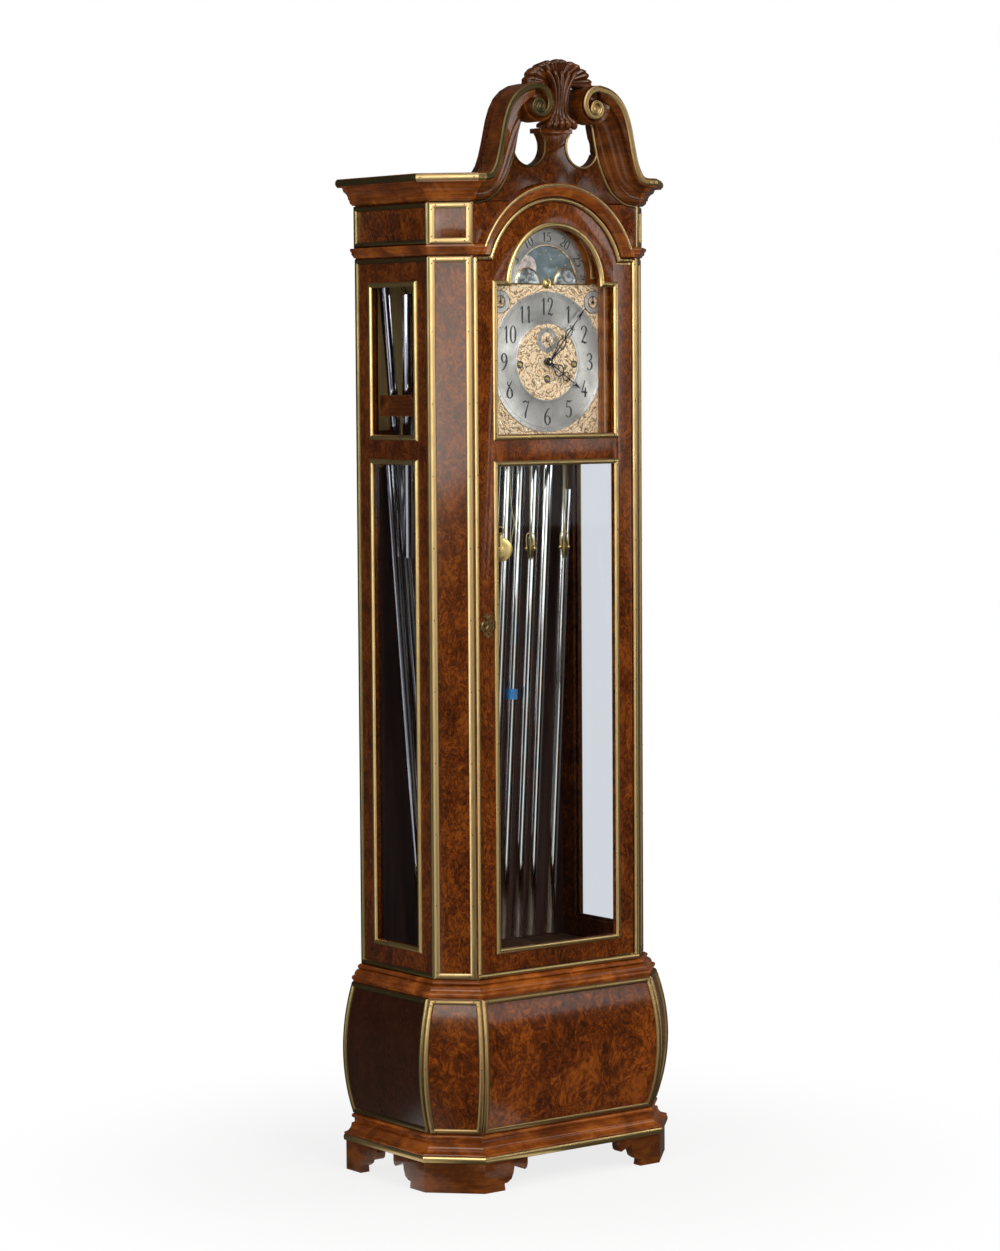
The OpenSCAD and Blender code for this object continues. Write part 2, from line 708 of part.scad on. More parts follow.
moon_y = dial_y + dial_t + 0.5;
moon_at = [-50, 34];
moon_r = 24;
module moon_disc() {
    color("slategray") in_case() {
        difference() {
            rod(0, moon_z, moon_y, moon_y + 1.5, window_r + 6);
            rod(0, moon_z, 0, far, 2 + run);
        }
    }
    color("mistyrose") in_case() for (k = [-1, 1])
        rod(k * moon_at[0], moon_z + k * moon_at[1], moon_y - 0.4, moon_y, moon_r);
}

// Hands: a blade of given length turned from twelve o'clock
minute_turn = -40;
hour_turn = -124;
seconds_turn = -150;
module blade(len, w, tail) {
    polygon([[-w * 0.35, 0], [-w * 0.3, len * 0.3], [-w, len * 0.42], [-w * 0.5, len * 0.55],
        [-w * 0.8, len * 0.68], [-w * 0.25, len * 0.8], [0, len], [w * 0.25, len * 0.8],
        [w * 0.8, len * 0.68], [w * 0.5, len * 0.55], [w, len * 0.42], [w * 0.3, len * 0.3],
        [w * 0.35, 0], [w * 0.2, -tail], [-w * 0.2, -tail]]);
}
module hand(x, z, y0, y1, len, w, tail, hub, bore, turn) {
    difference() {
        union() {
            slab(y0, y1) translate([x, z]) rotate(turn) difference() {
                blade(len, w, tail);
                translate([0, len * 0.42]) circle(w * 0.45);
            }
            rod(x, z, y0 - 0.2, y1 + 0.2, hub);
        }
        rod(x, z, y0 - 1, y1 + 1, bore);
    }
}
centre_r = 2.5;
pipe_r = 5;
minute_y = 22;
hour_y = 26;
hand_t = 1.6;
module minute_hand() { color("black") in_case()
    hand(0, dial_z, minute_y, minute_y + hand_t, minute_len, 9, 0, 7, centre_r, minute_turn); }
module hour_hand() { color("black") in_case()
    hand(0, dial_z, hour_y, hour_y + hand_t, hour_len, 12, 0, 9, pipe_r, hour_turn); }
seconds_y = dial_y - 3.5;
module seconds_hand() { color("black") in_case()
    hand(0, seconds_z, seconds_y, seconds_y + 0.8, 22, 3, 8, 3, 1.5, seconds_turn); }
// Selector hand with its own pin through the dial and a collar behind
module selector(side) {
    x = side * selector_x;
    hand(x, selector_z, dial_y - 3, dial_y - 2, 14, 3, 6, 3.4, 1.5, 0);
    rod(x, selector_z, dial_y - 3.2, dial_y + dial_t + 2, 1.5);
    rod(x, selector_z, dial_y + dial_t + 0.3, dial_y + dial_t + 2, 3);
}
module selector_left() { color("black") in_case() selector(-1); }
module selector_right() { color("black") in_case() selector(1); }

// Toothed wheel outline: teeth are straight-sided, thinned for backlash
function teeth(n, m, turn, slim) = let (r = n * m / 2) [for (i = [0:n - 1], k = [0:3]) let (
    half = [0.33 - slim, 0.13 - slim / 2, 0.13 - slim / 2, 0.33 - slim][k] * (k < 2 ? -1 : 1),
    a = turn + 360 * (i + half) / n, rad = (k == 0 || k == 3) ? r - 1.15 * m : r + 0.75 * m)
    [rad * cos(a), rad * sin(a)]];
module wheel(at, y0, y1, n, turn, bore) {
    slab(y0, y1) translate(at) difference() {
        polygon(teeth(n, tooth_m, turn, 0.05));
        if (bore > 0) circle(bore);
        if (n > 80) for (i = [0:4]) rotate(i * 72) translate([n * tooth_m * 0.29, 0])
            circle(n * tooth_m * 0.12);
    }
}
module leaves(at, y0, y1, n, turn) {
    slab(y0, y1) translate(at) polygon(teeth(n, tooth_m, turn, 0.09));
}
gear_k = tooth_m / 0.5;
centre_at = [0, dial_z];
minute_at = [20 * gear_k, dial_z];
third_a = 62.9;
third_at = centre_at + 27 * gear_k * [cos(third_a), sin(third_a)];
escape_at = [0, seconds_z];
third_to_escape = atan2(escape_at[1] - third_at[1], escape_at[0] - third_at[0]);
going_at = [0, going_z];
plate_y0 = 60;
plate_y1 = 126;
plate_thick = 4;
arbor_r = 1.5;
// Centre arbor: carries the cannon pinion, the centre wheel and the centre pinion
module centre_arbor() {
    color("goldenrod") in_case() {
        rod(0, dial_z, minute_y, plate_y1 + plate_thick, centre_r);
        leaves(centre_at, 51.5, 55.5, 20, 0);
        wheel(centre_at, 68, 70, 96, third_a, 0);
        leaves(centre_at, 117, 122, 12, -90 + 180 / 12);
    }
}
module minute_wheel() {
    color("goldenrod") in_case() difference() {
        union() {
            wheel(minute_at, 52, 55, 60, 180 + 180 / 60, 0);
            leaves(minute_at, 44.5, 50, 16, 180);
            rod(minute_at[0], dial_z, 50, 52, 3);
        }
        rod(minute_at[0], dial_z, 40, 59, arbor_r + run);
    }
}
module hour_wheel() {
    color("goldenrod") in_case() difference() {
        union() {
            wheel(centre_at, 45.5, 48.5, 64, 180 / 64, 0);
            rod(0, dial_z, hour_y, 50, pipe_r);
        }
        rod(0, dial_z, 0, far, centre_r + run);
    }
}
module third_wheel() {
    color("goldenrod") in_case() {
        wheel(third_at, 100, 102, 90, third_to_escape, 0);
        leaves(third_at, 67, 71, 12, third_a + 180 + 180 / 12);
        rod(third_at[0], third_at[1], plate_y0 + 1, plate_y1 + 3, arbor_r);
    }
}
escape_r = 18;
module escape_wheel() {
    color("goldenrod") in_case() {
        leaves(escape_at, 99, 103, 12, third_to_escape + 180 + 180 / 12);
        rod(0, seconds_z, seconds_y, plate_y1 + 3, arbor_r);
        slab(112, 114) translate(escape_at) difference() {
            polygon([for (i = [0:29], k = [0:1]) (k == 0 ? escape_r : escape_r - 4)
                * [cos(i * 12 + k * 3), sin(i * 12 + k * 3)]]);
            for (i = [0:4]) rotate(i * 72) translate([8, 0]) circle(3);
        }
    }
}
anchor_z = seconds_z + 29;
module anchor() {
    color("dimgray") in_case() {
        slab(111.5, 114.5) translate([0, anchor_z]) {
            circle(4);
            both_sides() polygon([[0, 3], [14, -6], [17, -13], [14.5, -15.5], [11, -9], [0, -4]]);
        }
        rod(0, anchor_z, plate_y0 + 1, plate_y1 + plate_thick + 6, arbor_r);
        slab(plate_y1 + plate_thick + 3, plate_y1 + plate_thick + 5) translate([-2.5, anchor_z - 70])
            square([5, 72]);
    }
}
great_y = 118;
module great_wheel() {
    color("goldenrod") in_case() wheel(going_at, great_y, great_y + 3, 132, 90, 4 + run);
}
// Winding drum on its arbor, with a square for the key at the front
drum_y0 = 79;
drum_y1 = 111;
module barrel(at) {
    color("goldenrod") in_case() {
        rod(at[0], at[1], drum_y0, drum_y1, drum_r - 1.5);
        for (y = [drum_y0, drum_y1 - 2]) rod(at[0], at[1], y, y + 2, drum_r + 2.5);
        rod(at[0], at[1], plate_y0 - 10, plate_y1 + plate_thick, 4);
        slab(dial_y - 2, plate_y0 - 10) translate(at) circle(square_r, $fn = 4);
        slab(drum_y1, drum_y1 + 3) translate(at) circle(drum_r - 6, $fn = 12);
    }
}
module barrel_left() barrel(winding[0]);
module barrel_centre() barrel(winding[1]);
module barrel_right() barrel(winding[2]);

// Movement plates with their pillars, the dial's feet and the minute wheel's stud
plate_half = 105;
seat_z = dial_z - 73.4;
seat_t = 18;
plate_h = 170;
plate_top = seat_z + plate_h;
pillar_x = plate_half - 15;
pillars = [for (x = [-pillar_x, pillar_x], z = [25, plate_h - 17]) [x, seat_z + z]];
module movement_frame() {
    color("goldenrod") in_case() {
        for (y = [plate_y0, plate_y1]) difference() {
            box([-plate_half, y, seat_z], [plate_half, y + plate_thick, plate_top]);
            for (p = winding) rod(p[0], p[1], 0, far, 4 + run);
            rod(0, dial_z, 0, far, centre_r + run);
            rod(third_at[0], third_at[1], 0, far, arbor_r + run);
            rod(0, seconds_z, 0, far, arbor_r + run);
            rod(0, anchor_z, 0, far, arbor_r + run);
        }
        for (p = pillars) {
            rod(p[0], p[1], plate_y0 + plate_thick, plate_y1, 5);
            rod(p[0], p[1], dial_y + dial_t, plate_y0, 3);
        }
        rod(minute_at[0], dial_z, 43, plate_y0, arbor_r);
        rod(minute_at[0], dial_z, 42, 43.5, 3);
    }
}

// Pulleys: place across the case, and how far each is turned from facing the front
pulley_y = 95;
pulley_x = [-81, 0, 93];
pulley_turn = [-37, 52, 48];
groove_r = sheave_r - 6;
sheave_w = 14;
cable_r = 1.6;
cable_run = 0.3;
cable_hole_r = cable_r + cable_run;
seat_front = 46;
seat_back = 160;
cleat_back = case_d - 61;
fall_r = groove_r + cable_r + cable_run;
function fall(i, side) = [pulley_x[i] + side * fall_r * cos(pulley_turn[i]),
    pulley_y + side * fall_r * sin(pulley_turn[i])];
module seatboard() {
    color("burlywood") in_case() difference() {
        union() {
            intersection() {
                box([-inner_x, seat_front, seat_z - seat_t], [inner_x, seat_back, seat_z]);
                prism(inner, seat_z - seat_t, seat_z);
            }
            both_sides() {
                box([inner_x - 30, post_end, seat_z - seat_t - 22],
                    [inner_x, cleat_back, seat_z - seat_t]);
                box([inner_x - 18, seat_back, seat_z - seat_t - 1],
                    [inner_x, cleat_back, seat_z + 5]);
            }
        }
        for (i = [0:2], side = [-1, 1]) translate(concat(fall(i, side), seat_z - far / 2))
            cylinder(far, cable_hole_r, cable_hole_r);
    }
}
module at_pulley(i) {
    in_case() translate([pulley_x[i], pulley_y, pulley_z]) rotate([0, 0, pulley_turn[i]]) children();
}
axle_r = 2.5;
fork_y = sheave_w / 2 + 1;
eye_z = 41;
module pulley(i) {
    color("goldenrod") at_pulley(i) {
        rod(0, 0, -fork_y - 4, fork_y + 4, axle_r);
        for (k = [-1, 1]) slab(k * (fork_y + 1) - 1, k * (fork_y + 1) + 1) {
            circle(6);
            translate([-4, 0]) square([8, sheave_r + 6]);
        }
        box([-4, -fork_y - 2, sheave_r + 4], [4, fork_y + 2, sheave_r + 7]);
        slab(-1.5, 1.5) translate([0, eye_z]) difference() {
            circle(9);
            circle(5.5);
        }
    }
}
module pulley_left() pulley(0);
module pulley_centre() pulley(1);
module pulley_right() pulley(2);
module sheave(i) {
    color("gold") at_pulley(i) rotate([90, 0, 0]) difference() {
        rotate_extrude($fn = 64) polygon([[axle_r + run, -6.5], [9, -6.5], [18, -5.5], [sheave_r - 1, -4],
            [sheave_r, -3], [groove_r, -1.6], [groove_r, 1.6], [sheave_r, 3], [sheave_r - 1, 4],
            [18, 5.5], [9, 6.5], [axle_r + run, 6.5]]);
    }
}
module sheave_left() sheave(0);
module sheave_centre() sheave(1);
module sheave_right() sheave(2);

// Cable: down one fall, round under the sheave and up the other, as one swept tube
cable_sides = 8;
sag_turns = [for (k = [0:12]) 180 + 15 * k];
cable_top = seat_z + 4;
cable_steps = [1, 0.76, 0.46, 0.24, 0.09];
function cable_route(i) = let (r = fall_r, c = cos(pulley_turn[i]), s = sin(pulley_turn[i]),
    place = function (u, z) [pulley_x[i] + u * c, pulley_y + u * s, z]) concat(
    [for (k = cable_steps) place(-r, mix(pulley_z, cable_top, k))],
    [for (a = sag_turns) place(r * cos(a), pulley_z + r * sin(a))],
    [for (k = backwards(cable_steps)) place(r, mix(pulley_z, cable_top, k))]);
function unit(v) = v / norm(v);
module cable(i) {
    path = cable_route(i);
    n = len(path);
    across = [-sin(pulley_turn[i]), cos(pulley_turn[i]), 0];
    rings = [for (k = [0:n - 1]) let (
        t = unit(path[min(k + 1, n - 1)] - path[max(k - 1, 0)]), side = cross(t, across))
        for (j = [0:cable_sides - 1]) let (a = 360 * j / cable_sides)
            path[k] + cable_r * (cos(a) * across + sin(a) * side)];
    walls = [for (k = [0:n - 2], j = [0:cable_sides - 1]) let (a = k * cable_sides + j,
        b = k * cable_sides + (j + 1) % cable_sides) [a, a + cable_sides, b + cable_sides, b]];
    color("darkkhaki") in_case() polyhedron(rings, concat(walls,
        [[for (j = [0:cable_sides - 1]) j]],
        [[for (j = [cable_sides - 1:-1:0]) (n - 1) * cable_sides + j]]));
}
module cable_left() cable(0);
module cable_centre() cable(1);
module cable_right() cable(2);

// Chime tubes, hung on cords from hooks on the back: six lean to the right, and three
// hang in the back corner on the left. Each is [foot, top]
tube_foot = 40;
tube_lean = [0.105, 0.062];
tube_mid = [case_d - 91, 555];
tube_tops = [[-10, 150], [25, 200], [60, 260], [100, 320], [136, 390], [190, 503]];
corner_y = back_y - 34;
function leaning(x, top) = [for (z = [tube_foot, top]) [x + tube_lean[0] * (z - tube_mid[1]),
    tube_mid[0] + tube_lean[1] * (z - tube_mid[1]), z]];
tubes = concat([for (t = tube_tops) leaning(t[0], trunk_h - t[1])], [
    [[-116, corner_y, tube_foot], [-241, corner_y, trunk_h - 50]],
    [[-153, corner_y, tube_foot], [-233, corner_y, dial_z - 217]],
    [[-200, corner_y - 28, dial_z - 418], [-200, corner_y - 28, trunk_h - 75]]]);
rail_z = trunk_h - 40;
rail_h = 24;
rail_y = back_y - 21;
batten_z = dial_z - 168;
batten_l = 70;
tube_wall = 1.2;
// A cylinder between two points
module bar(a, b, r) {
    v = b - a;
    translate(a) rotate([0, acos(v[2] / norm(v)), atan2(v[1], v[0])]) cylinder(norm(v), r, r);
}
module chime_tubes() {
    color("silver") in_case() for (t = tubes) let (long = norm(t[1] - t[0])) difference() {
        bar(t[0], t[1], tube_r);
        bar(mix(t[0], t[1], -5 / long), mix(t[0], t[1], 1 - 8 / long), tube_r - tube_wall);
    }
}
function hook(t) = [max(-inner_x + 12, min(inner_x - 12, t[1][0])), rail_y - 3,
    (t[1][2] < batten_z && t[1][0] < -inner_x * 0.8 ? batten_z : rail_z) + 8];
module tube_rack() {
    color("saddlebrown") in_case() {
        box([-inner_x, rail_y, rail_z], [inner_x, back_y, rail_z + rail_h]);
        box([-inner_x, rail_y, batten_z], [batten_l - inner_x, back_y, batten_z + rail_h]);
    }
    color("ivory") in_case() for (t = tubes) bar(t[1], hook(t), 1.2);
    color("goldenrod") in_case() for (t = tubes)
        rod(hook(t)[0], hook(t)[2], rail_y - 5, rail_y, 2.5);
}

feet();
plinth_moulding();
base_shell();
base_trim();
waist_moulding();
case_floors();
side_panel_left();
side_panel_right();
corner_posts();
back_panel();
case_trim();
side_panes();
mid_moulding();
frieze();
cornice_moulding();
pediment_board();
swan_necks();
pediment_cap();
shell_carving();
roof_board();
door_frame();
door_trim();
door_panes();
door_lock();
lock_bolt();
escutcheon();
case_pivots();
door_pivot_plates();
dial_mask();
dial_plate();
silvered_rings();
moon_disc();
minute_hand();
hour_hand();
seconds_hand();
selector_left();
selector_right();
movement_frame();
seatboard();
barrel_left();
barrel_centre();
barrel_right();
great_wheel();
centre_arbor();
minute_wheel();
hour_wheel();
third_wheel();
escape_wheel();
anchor();
pulley_left();
pulley_centre();
pulley_right();
sheave_left();
sheave_centre();
sheave_right();
cable_left();
cable_centre();
cable_right();
chime_tubes();
tube_rack();
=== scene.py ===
"""A longcase clock: veneered case with canted corners, bombe base, swan-neck pediment and carved
shell, a glazed door over a moon dial, three cable-driven trains and a set of chime tubes."""

import math

import bmesh
import bpy
from mathutils import Matrix, Vector


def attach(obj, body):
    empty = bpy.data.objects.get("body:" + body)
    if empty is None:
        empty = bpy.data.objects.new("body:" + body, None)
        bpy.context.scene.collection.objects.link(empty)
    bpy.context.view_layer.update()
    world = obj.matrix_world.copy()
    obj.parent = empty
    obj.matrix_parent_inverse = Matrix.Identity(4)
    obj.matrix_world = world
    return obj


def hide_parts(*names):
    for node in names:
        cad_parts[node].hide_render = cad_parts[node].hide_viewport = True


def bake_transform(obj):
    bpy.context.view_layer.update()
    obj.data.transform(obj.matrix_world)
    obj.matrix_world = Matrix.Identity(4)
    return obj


bl_info = {
    "name": "Longcase Clock",
    "version": (1, 0, 0),
    "blender": (4, 5, 0),
    "location": "View3D > Sidebar > Clock",
    "description": "Builds a longcase clock round its packed frame",
    "category": "Object",
}

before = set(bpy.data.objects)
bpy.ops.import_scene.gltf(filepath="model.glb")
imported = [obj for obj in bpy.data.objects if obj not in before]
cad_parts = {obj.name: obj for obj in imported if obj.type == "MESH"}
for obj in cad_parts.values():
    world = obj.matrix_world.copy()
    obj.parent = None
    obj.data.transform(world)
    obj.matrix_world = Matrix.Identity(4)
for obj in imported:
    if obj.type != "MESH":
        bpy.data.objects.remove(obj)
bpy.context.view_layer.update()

# The case frame, in millimetres: y = 0 on the trunk's front, z = 0 under the trunk. The canted
# corners run from ARRIS_X on the front to CANT deep on the sides.
MM = 0.001
FRONT_Y = -143.0
TRUNK_Z = 445.0
IN_CASE = Matrix.Translation((0, FRONT_Y * MM, TRUNK_Z * MM)) @ Matrix.Scale(MM, 4)
ARRIS_X, SIDE_X, CANT, CASE_D = 220.0, 285.0, 65.0, 336.0
# The case turns by 45 degrees at each edge of a canted corner, which shifts a section sideways
# by this share of its outward offset
MITRE = math.tan(math.radians(22.5))
TRUNK_H = 1520.0
# The door, its shoulders, and the arch that the case has over it
DOOR_X, SHOULDER_Z, ARCH_R, ARCH_Z = 207.0, 1508.0, 174.0, 1460.0
# The moulding over the arch, and the levels of the frieze, the cornice and its top
MID_Z, MID_H, MID_IN, MID_OUT = 1522.0, 20.0, 187.0, 214.0
FRIEZE_Z, CORNICE_Z, TOP_Z = 1542.0, 1633.0, 1688.0
CORNICE_OUT, PLINTH_OUT = 44.0, 50.0
# Where the cornice stops on the front, at the foot of each swan neck
NECK_X = 218.0
# Below the trunk, from the floor up; the base bulges from its edges' offset
FOOT_H, PLINTH_H, BASE_H, BULGE, BASE_EDGE = 64.0, 57.0, 288.0, 26.0, 22.0
BASE_Z = FOOT_H + PLINTH_H
# The windows in the sides: from front to back, and the heights of the two
WINDOW_Y = (113.5, 288.3)
WINDOWS = ((49.5, 1095.0), (1134.0, 1469.0))
# The dial: the levels of its plate and of the moon disc, its centres, and its rings' radii
DIAL_Y, MOON_Y = 34.0, 37.5
DIAL_Z = ARCH_Z - 161.6
MOON_Z = ARCH_Z + 4
SECONDS_Z = DIAL_Z + 46.5
SELECTOR = (124.4, MOON_Z - 39)
CHAPTER = (81.2, 148.7)
MOON_RING = (81.7, 118.0)
WINDING = ((-72.7, DIAL_Z - 5.4), (72.7, DIAL_Z - 5.4), (0, DIAL_Z - 36))
UP, FRONT, SIDE = Vector((0, 0, 1)), Vector((0, -1, 0)), Vector((1, 0, 0))
BMVert, BMEdge, BMFace = bmesh.types.BMVert, bmesh.types.BMEdge, bmesh.types.BMFace


def floor_level(z):
    """Height above the floor, turned into the case frame."""
    return z - TRUNK_Z


def size_setting(name, default, low, description):
    return bpy.props.FloatProperty(name=name, default=default, min=low, description=description)


def colour_setting(name, default, description):
    return bpy.props.FloatVectorProperty(name=name, default=default, description=description,
                                         subtype="COLOR", size=3, min=0, max=1)


def lamp_setting(name, default, description):
    return bpy.props.FloatProperty(name=name, default=default, description=description,
                                   subtype="POWER")


class ClockCase(bpy.types.PropertyGroup):
    """Sizes of the strips, their pins and the wooden edges"""
    strip_w: size_setting("Strip width", 12.0, 6, "Width of the brass strips, in millimetres")
    strip_crown: size_setting("Strip crown", 5.0, 1,
                              "How far the strips stand out, in millimetres")
    pin_pitch: size_setting("Pin pitch", 152.0, 40,
                            "Distance between the strips' pins, in millimetres")
    pin_r: size_setting("Pin radius", 1.7, 0.5, "Radius of the pins' heads, in millimetres")
    soft: size_setting("Softened edge", 0.9, 0,
                       "Width of the softened wooden edges, in millimetres")


class ClockColours(bpy.types.PropertyGroup):
    """Colours of the veneer, the mouldings, the brass and the dial"""
    veneer_dark: colour_setting("Veneer, dark", (0.026, 0.0055, 0.0007),
                                "Darkest figure of the walnut burl")
    veneer_mid: colour_setting("Veneer, middle", (0.099, 0.0185, 0.0009),
                               "Middle tone of the walnut burl")
    veneer_bright: colour_setting("Veneer, bright", (0.230, 0.052, 0.0025),
                                  "Brightest figure of the burl")
    run_mid: colour_setting("Moulding, middle", (0.150, 0.033, 0.0033),
                            "Middle tone of the mouldings")
    run_bright: colour_setting("Moulding, bright", (0.31, 0.080, 0.0085),
                               "Bright streaks of the mouldings")
    brass: colour_setting("Brass", (0.60, 0.43, 0.18), "Colour of the case brass")
    pale_brass: colour_setting("Pale brass", (0.41, 0.29, 0.13),
                               "Brass on the canted corners")
    # A darkened copy of the brass for the strips on the sides, as painted shade
    olive_brass: colour_setting("Olive brass", (0.20, 0.15, 0.06),
                                "Brass in the shade of mouldings")
    gilt: colour_setting("Gilt", (1.0, 0.665, 0.385), "Colour of the gilt dial plate")
    sky: colour_setting("Sky", (0.135, 0.17, 0.19), "Ground colour of the moon disc")


class ClockStage(bpy.types.PropertyGroup):
    """The floor's size and the lamps' strengths"""
    floor_r: bpy.props.FloatProperty(name="Floor radius", default=9.0, subtype="DISTANCE",
                                     description="Radius of the floor")
    key_power: lamp_setting("Key lamp", 118.0, "Strength of the large lamp in front")
    left_power: lamp_setting("Left lamp", 42.0, "Strength of the lamp on the left")
    sheen_power: lamp_setting("Sheen lamp", 70.0, "Strength of the lamp that only gloss shows")
    fill_power: lamp_setting("Fill lamp", 38.0, "Strength of the lamp on the right")


def feed(mat, node, inputs):
    """Gives a node its inputs: a socket is linked, any other value is set."""
    for key, value in inputs.items():
        if isinstance(value, bpy.types.NodeSocket):
            mat.node_tree.links.new(value, node.inputs[key])
        else:
            node.inputs[key].default_value = value


def add(mat, kind, inputs=None, **settings):
    """Adds a shader node with its settings and its inputs."""
    made = mat.node_tree.nodes.new("ShaderNode" + kind)
    for key, value in settings.items():
        setattr(made, key, value)
    feed(mat, made, inputs or {})
    return made


def ramp(mat, value, stops):
    """Colours along a value, from stops of (position, colour)."""
    made = add(mat, "ValToRGB", {0: value})
    line = made.color_ramp
    for i, (at, colour) in enumerate(stops):
        stop = line.elements[i] if i < 2 else line.elements.new(at)
        stop.position = at
        stop.color = (*colour, 1)
    return made.outputs[0]


def mixed(mat, share, a, b):
    """One colour turning into another, each a socket or its three numbers."""
    a, b = (c if isinstance(c, bpy.types.NodeSocket) else (*c, 1) for c in (a, b))
    return add(mat, "Mix", {0: share, 6: a, 7: b}, data_type="RGBA").outputs[2]


def position(mat):
    """Object coordinates, in metres."""
    return add(mat, "TexCoord").outputs["Object"]


def mapped(mat, scale=(1, 1, 1), at=(0, 0, 0), turn=(0, 0, 0)):
    """Object coordinates, moved, turned and scaled for a pattern."""
    return add(mat, "Mapping", {0: position(mat), 1: at, 2: turn, 3: scale}).outputs[0]


def axis(mat, vector, k):
    """One of the three numbers of a vector."""
    return add(mat, "SeparateXYZ", {0: vector}).outputs[k]


def noise(mat, vector, scale, detail=4.0, rough=0.5, distortion=0.0):
    return add(mat, "TexNoise", {"Vector": vector, "Scale": scale, "Detail": detail,
                                 "Roughness": rough, "Distortion": distortion}).outputs[0]


def arithmetic(mat, operation, a, b=0.0, c=0.0):
    return add(mat, "Math", {0: a, 1: b, 2: c}, operation=operation).outputs[0]


def vectors(mat, operation, a, b=(0, 0, 0)):
    made = add(mat, "VectorMath", {0: a, 1: b}, operation=operation)
    return made.outputs["Value" if operation == "LENGTH" else "Vector"]


def weighed(mat, a, share, b):
    """A share of one pattern and the rest of another."""
    return arithmetic(mat, "MULTIPLY_ADD", a, share, arithmetic(mat, "MULTIPLY", b, 1 - share))


def spread(mat, value, low, high, new_low, new_high):
    return add(mat, "MapRange", {0: value, 1: low, 2: high, 3: new_low, 4: new_high}).outputs[0]


def bumped(mat, height, strength, distance):
    return add(mat, "Bump", {"Height": height, "Strength": strength,
                             "Distance": distance}).outputs[0]


def blank(name):
    """A material with an empty node tree."""
    mat = bpy.data.materials.new(name)
    mat.use_nodes = True
    mat.node_tree.nodes.clear()
    return mat


def start(name):
    """A new material and its surface shader."""
    mat = blank(name)
    shader = add(mat, "BsdfPrincipled")
    add(mat, "OutputMaterial", {0: shader.outputs[0]})
    return mat, shader


def own_colour(key):
    """A colour from the user's settings."""
    return Vector(getattr(bpy.context.scene.clock_colours, key))


# The clear polish on all the walnut, warmed by the wood under it
POLISH = {"Coat Weight": 0.5, "Specular Tint": (1.0, 0.75, 0.4, 1)}


def walnut(name, figure, stretch, tone, gloss, rings, seam=0.0, back=None):
    """Polished burl walnut: figure is the size of the swirls, stretch draws them out, rings is
    the number of growth lines across them, and seam is the height of one leaf in metres.
    Behind the level back, across the case, the veneer is darkened: painted shade on the base's
    sides."""
    dark, mid, bright = (own_colour("veneer_" + key) * tone for key in ("dark", "mid", "bright"))
    mat, shader = start(name)
    coords = mapped(mat, (1, 1, stretch))
    drift = add(mat, "TexNoise", {"Vector": coords, "Scale": 11.0, "Detail": 4.0}).outputs[1]
    drift = vectors(mat, "SUBTRACT", drift, (0.5,) * 3)
    warped = vectors(mat, "ADD", coords, vectors(mat, "MULTIPLY", drift, (0.06,) * 3))
    swirl = noise(mat, warped, figure, 2.4, 0.5, 0.7)
    growth = arithmetic(mat, "SINE", arithmetic(mat, "MULTIPLY", swirl, rings * math.tau))
    cloud = noise(mat, warped, figure * 0.5, 7, 0.64, 0.5)
    speck = noise(mat, warped, figure * 2.6, 5, 0.62, 1.4)
    tide = noise(mat, mapped(mat), 2.6, 3)
    value = arithmetic(mat, "MULTIPLY_ADD", growth, 0.042, weighed(mat, cloud, 0.42, speck))
    value = arithmetic(mat, "ADD", value, spread(mat, tide, 0.32, 0.68, -0.03, 0.03))
    colour = ramp(mat, value, ((0.36, dark), (0.44, mid * 0.66), (0.50, mid),
                               (0.60, bright * 0.9), (0.72, bright * 1.2)))
    eyes = add(mat, "TexVoronoi", {"Vector": warped, "Scale": figure * 4.2}).outputs[0]
    knots = arithmetic(mat, "MULTIPLY", spread(mat, eyes, 0.08, 0.24, 0.5, 0.0),
                       spread(mat, cloud, 0.48, 0.56, 0.0, 1.0))
    colour = mixed(mat, knots, colour, dark)
    pores = noise(mat, mapped(mat, (1, 1, 0.09)), 900, 2, 0.6)
    colour = mixed(mat, spread(mat, pores, 0.45, 0.75, 0.0, 0.35), colour, dark)
    if seam:
        edge = arithmetic(mat, "PINGPONG", axis(mat, position(mat), 2), seam / 2)
        colour = mixed(mat, spread(mat, edge, 0.0, 0.0012, 0.55, 0.0), colour, dark)
    # Painted shade: behind the level back, on the sides, the veneer turns towards a darker tone
    if back is not None:
        painted_shade = spread(mat, axis(mat, position(mat), 1), back, back + 0.002, 0.0, 0.9)
        colour = mixed(mat, painted_shade, colour, dark * 0.6)
    ripple = noise(mat, mapped(mat, (1, 1, 2.6)), 85, 2, 0.5, 1.2)
    relief = arithmetic(mat, "MULTIPLY_ADD", ripple, 1.6, pores)
    feed(mat, shader, {**POLISH, "Base Color": colour, "Coat Roughness": 0.13,
                       "Specular IOR Level": 0.14, "Normal": bumped(mat, relief, 0.10, 0.0005),
                       "Roughness": spread(mat, cloud, 0.3, 0.7, gloss, gloss + 0.12)})
    return mat


